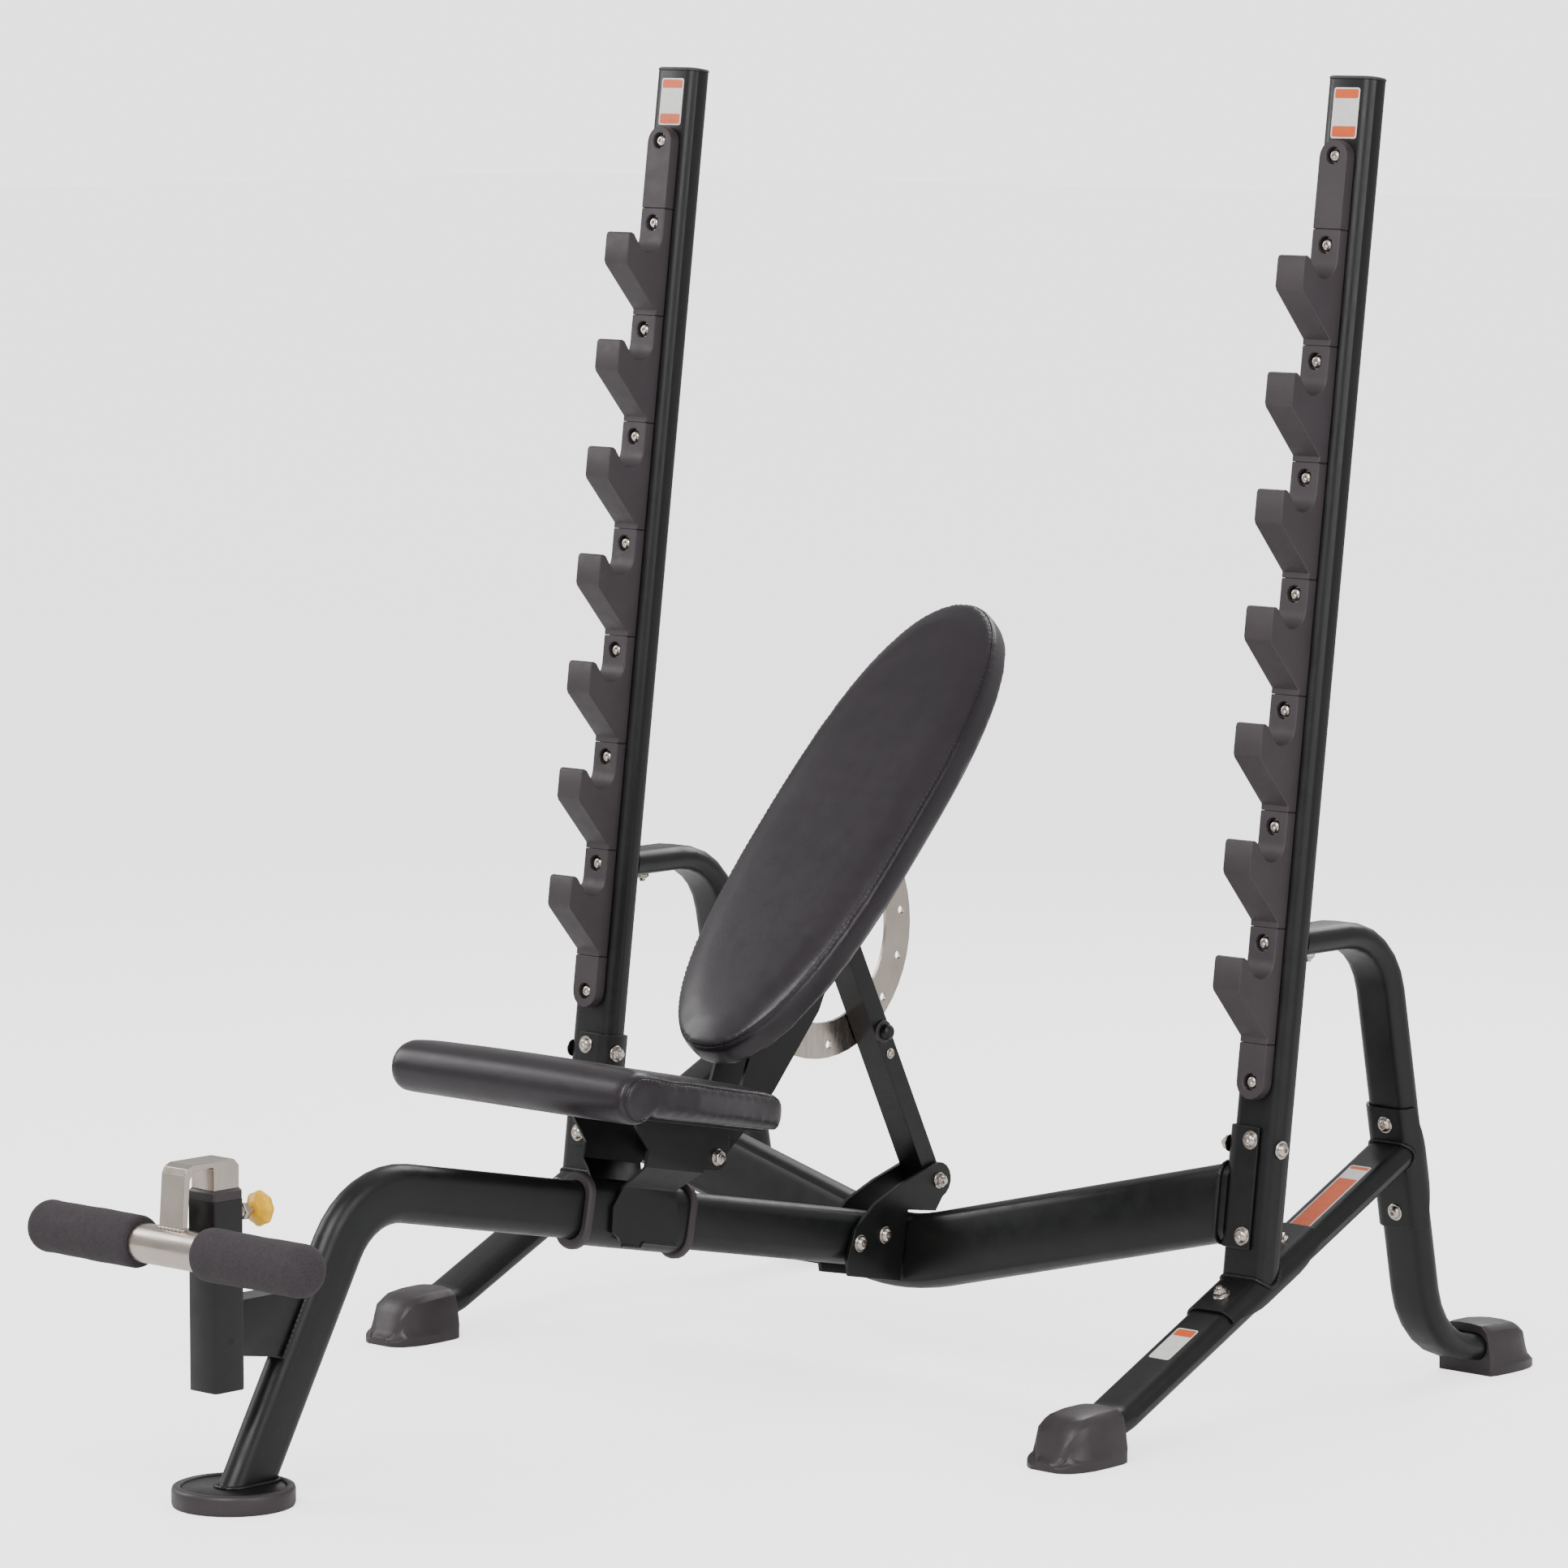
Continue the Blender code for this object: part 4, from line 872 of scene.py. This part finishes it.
def resample(path, gap, closed):
    """Points at even gaps along a path."""
    points = list(path) + ([path[0]] if closed else [])
    result = [points[0]]
    left = gap
    for a, b in zip(points, points[1:]):
        length = (b - a).length
        at = left
        while at <= length:
            result.append(a.lerp(b, at / length))
            at += gap
        left = at - length
    return result


def stitch(name, pad, path, body, offset, closed):
    """A seam cord in its groove and a row of stitches beside it, laid on the cover."""
    laid = press_seam(pad, path, 0.0016, 0.0026)
    tree = BVHTree.FromPolygons([v.co for v in pad.data.vertices],
                                [p.vertices[:] for p in pad.data.polygons])
    bm = bmesh.new()
    cord = []
    for place, _ in laid:
        on, normal, _, _ = tree.find_nearest(place)
        cord.append(on + normal * 0.0003)
    bead_path(bm, cord, 0.0010, closed)
    line = []
    for i, (place, normal) in enumerate(laid):
        after = laid[(i + 1) % len(laid)][0]
        before = laid[i - 1][0]
        side = normal.cross(after - before).normalized()
        line.append(place + side * offset)
    for i, here in enumerate(line if closed else line[:-1]):
        if i % 2:
            continue
        there = line[(i + 1) % len(line)]
        if (there - here).length > 0.02:
            continue
        ends = []
        for k in (0.0, 0.5, 1.0):
            on, normal, _, _ = tree.find_nearest(here.lerp(there, k * 1.25))
            ends.append(on + normal * (0.0001 if k != 0.5 else 0.00035))
        bead_path(bm, ends, 0.00050, False, 5)
    piece(name, bm, "thread", body, smooth=90.0)


def bead_path(bm, points, radius, closed, sides=6):
    """A thin round cord through the points."""
    rings = []
    for i, here in enumerate(points):
        before = points[i - 1] if closed or i else here
        after = points[(i + 1) % len(points)] if closed or i + 1 < len(points) else here
        place = placer(here, after - before)
        turn = [2 * pi * k / sides for k in range(sides)]
        rings.append([place(radius * cos(a), radius * sin(a), 0.0) for a in turn])
    skin(bm, rings, closed=closed)


def pad_outline(shrink, count):
    """(s, x) around the back pad."""
    middle = (PAD_S[0] + PAD_S[1]) / 2
    reach = (PAD_S[1] - PAD_S[0]) / 2
    points = []
    for i in range(count):
        a = 2 * pi * i / count
        c, d = cos(a), sin(a)
        s = (reach - shrink) * abs(c) ** (2 / 2.7) * (1 if c > 0 else -1)
        x = (PAD_HALF_W - shrink) * abs(d) ** (2 / 2.2) * (1 if d > 0 else -1)
        points.append((middle + s, x))
    return points


def make_back_pad():
    rows = ((PAD_FLOOR, 0.0120), (PAD_FLOOR, 0.0065), (0.0400, 0.0040), (0.0220, 0.0030),
            (0.0070, 0.0035), (0.0020, 0.0060), (-0.0005, 0.0110), (-0.0025, 0.0220),
            (-0.0040, 0.0400), (-0.0048, 0.0650), (-0.0052, 0.0950), (-0.0053, 0.1250))
    rings = [[pp(s, d, x) for s, x in pad_outline(shrink, 160)] for d, shrink in rows]
    floor = (pp(0, 0) - pp(0, 1)).normalized()
    base = pp(0, PAD_FLOOR)
    pad = upholster("back_cushion", rings, "backrest", "back_pad",
                    lambda co: (co - base).dot(floor) < 0.004, 0.0045, 0.005)
    seam = resample([pp(s, 0.0030, x) for s, x in pad_outline(0.0015, 240)], 0.0042, True)[:-1]
    stitch("back_cushion_seam", pad, seam, "backrest", -0.0034, True)
    bm = bmesh.new()
    outline = pad_outline(0.0110, 96)
    skin(bm, [[pp(s, d, x) for s, x in outline] for d in (0.0415, 0.0466)])
    piece("back_board", bm, "board", "backrest", 0.0010)
    down = (pp(0, 1) - pp(0, 0)).normalized()
    spots = [(s, x) for s in (-0.270, -0.060, 0.200) for x in (-0.034, 0.034)]
    screws("back_board_screws", "backrest", [(pp(s, 0.0523, x), down, 0.80) for s, x in spots])


SEAT_W = ((0.440, 0.146), (0.480, 0.154), (0.560, 0.172), (0.660, 0.194), (0.735, 0.208),
          (0.770, 0.212), (0.810, 0.211))


def seat_half_width(s):
    for (a, wa), (b, wb) in zip(SEAT_W, SEAT_W[1:]):
        if s <= b:
            return wa + (wb - wa) * smooth_step((s - a) / (b - a)) if s > a else wa
    return SEAT_W[-1][1]


def seat_profile(shrink):
    """Side outline of the seat: a slab with a roll across its front, counter-clockwise."""
    roll_s, roll_n, r = 0.7705, 0.0640, 0.0325 - shrink
    points = [(0.4430 + shrink, 0.0440 + shrink)]
    points += [(s, SEAT_FLOOR + shrink) for s in (0.470, 0.560, 0.650, 0.700)]
    points += [(0.728, 0.0435 + shrink), (0.7385, 0.0470 + shrink)]
    points += [(roll_s + u, roll_n + v) for u, v in arc(0, 0, r, -128, 96, 22)]
    points += [(s, n - shrink) for s, n in ((0.735, 0.0948), (0.700, 0.0928), (0.650, 0.0918),
                                            (0.560, 0.0905), (0.490, 0.0890))]
    points += [(0.456 + shrink * 0.3, 0.0872 - shrink), (0.4450 + shrink, 0.0825 - shrink * 0.8),
               (0.4415 + shrink, 0.0740), (0.4405 + shrink, 0.0600)]
    return points


def make_seat():
    rings = []
    half = ((1.0, 0.0105), (0.990, 0.0052), (0.972, 0.0018), (0.94, 0.0), (0.80, 0.0), (0.5, 0.0))
    slices = [(-t, shrink) for t, shrink in half] + [(0.0, 0.0)] + list(reversed(half))
    for t, shrink in slices:
        ring = []
        for s, n in seat_profile(shrink):
            crown = 0.0020 * (1 - t * t) if n > 0.07 else 0.0
            ring.append(bp(s, n + crown, t * (seat_half_width(s) - 0.0030)))
        rings.append(ring)
    base = bp(0, SEAT_FLOOR)
    pad = upholster("seat_cushion", rings, "carriage", "seat_pad",
                    lambda co: (co - base).dot(BEAM_OUT) < 0.0045, 0.0045, 0.005)
    for side, sign in (("left", -1), ("right", 1)):
        line = [(0.4450, 0.0860), (0.470, 0.0888), (0.500, 0.0900), (0.560, 0.0910), (0.620, 0.0918),
                (0.680, 0.0930), (0.715, 0.0945), (0.740, 0.0960)]
        line += [(0.7705 + u, 0.0640 + v) for u, v in arc(0, 0, 0.0325, 90, -118, 22)]
        dips = [0.006 if s < 0.70 else 0.0028 for s, n in line]
        path = [bp(s, n, sign * (seat_half_width(s) - dip)) for (s, n), dip in zip(line, dips)]
        path = resample(path, 0.0042, False)
        stitch("seat_seam_" + side, pad, path, "carriage", 0.0034 * sign, False)
    bm = bmesh.new()
    edge = [(0.452, 0.118), (0.560, 0.134), (0.700, 0.150), (0.748, 0.152), (0.756, 0.144)]
    outline = edge + [(s, -x) for s, x in reversed(edge)]
    skin(bm, [[bp(s, n, x) for s, x in outline] for n in (0.0388, 0.0428)])
    piece("seat_board", bm, "board", "carriage", 0.0010)


make_back_pad()
make_seat()


# ---------------------------------------------------------------- floor, light and camera
def make_stage():
    bm = bmesh.new()
    bmesh.ops.create_grid(bm, x_segments=1, y_segments=1, size=40.0)
    mesh = bpy.data.meshes.new("floor")
    bm.to_mesh(mesh)
    bm.free()
    floor = bpy.data.objects.new("floor", mesh)
    floor.location.z = -0.0005
    s = Surface("floor_paint", (0.86, 0.86, 0.86), 0.75)
    s.paint(s.noise(0.7, 2.0), 0.99, 1.01)
    s.roughen(s.noise(3.0, 2.0), 0.05)
    s.shader.inputs["Emission Color"].default_value = (1.0, 1.0, 1.0, 1.0)
    seen = s.node("ShaderNodeLightPath").outputs["Is Camera Ray"]
    s.link(s.spread(seen, 0.0, 1.9, 0.0, 1.0), s.shader.inputs["Emission Strength"])
    mesh.materials.append(s.material)
    SCENE.collection.objects.link(floor)
    world = bpy.data.worlds.new("studio")
    world.use_nodes = True
    sky = world.node_tree.nodes["Background"]
    sky.inputs["Color"].default_value = (1.0, 1.0, 1.0, 1.0)
    tree = world.node_tree
    seen = tree.nodes.new("ShaderNodeLightPath")
    level = tree.nodes.new("ShaderNodeMapRange")
    level.inputs["To Min"].default_value = 0.60
    level.inputs["To Max"].default_value = 2.6
    tree.links.new(seen.outputs["Is Camera Ray"], level.inputs["Value"])
    tree.links.new(level.outputs["Result"], sky.inputs["Strength"])
    SCENE.world = world
    target = Vector((0.0, 0.0, 0.7))
    for name, place, size, power in (("key", (1.2, -3.6, 3.6), 2.6, 150.0),
                                     ("fill", (4.2, -0.6, 2.4), 2.6, 70.0),
                                     ("left", (-3.8, -1.6, 2.6), 2.2, 70.0),
                                     ("back", (-0.8, 3.4, 3.4), 2.8, 110.0)):
        light = bpy.data.lights.new(name, "AREA")
        light.shape = "SQUARE"
        light.size = size
        light.energy = power
        lamp = bpy.data.objects.new(name, light)
        lamp.location = place
        lamp.rotation_euler = (target - Vector(place)).to_track_quat("-Z", "Y").to_euler()
        SCENE.collection.objects.link(lamp)


def make_camera():
    data = bpy.data.cameras.new("camera")
    data.sensor_width = 36.0
    data.lens = 162.2
    data.clip_end = 200.0
    camera = bpy.data.objects.new("camera", data)
    camera.location = (6.1243, -6.415, 1.8134)
    camera.rotation_euler = (radians(90 - 6.54), 0.0, radians(43.01))
    SCENE.collection.objects.link(camera)
    SCENE.camera = camera


make_stage()
make_camera()
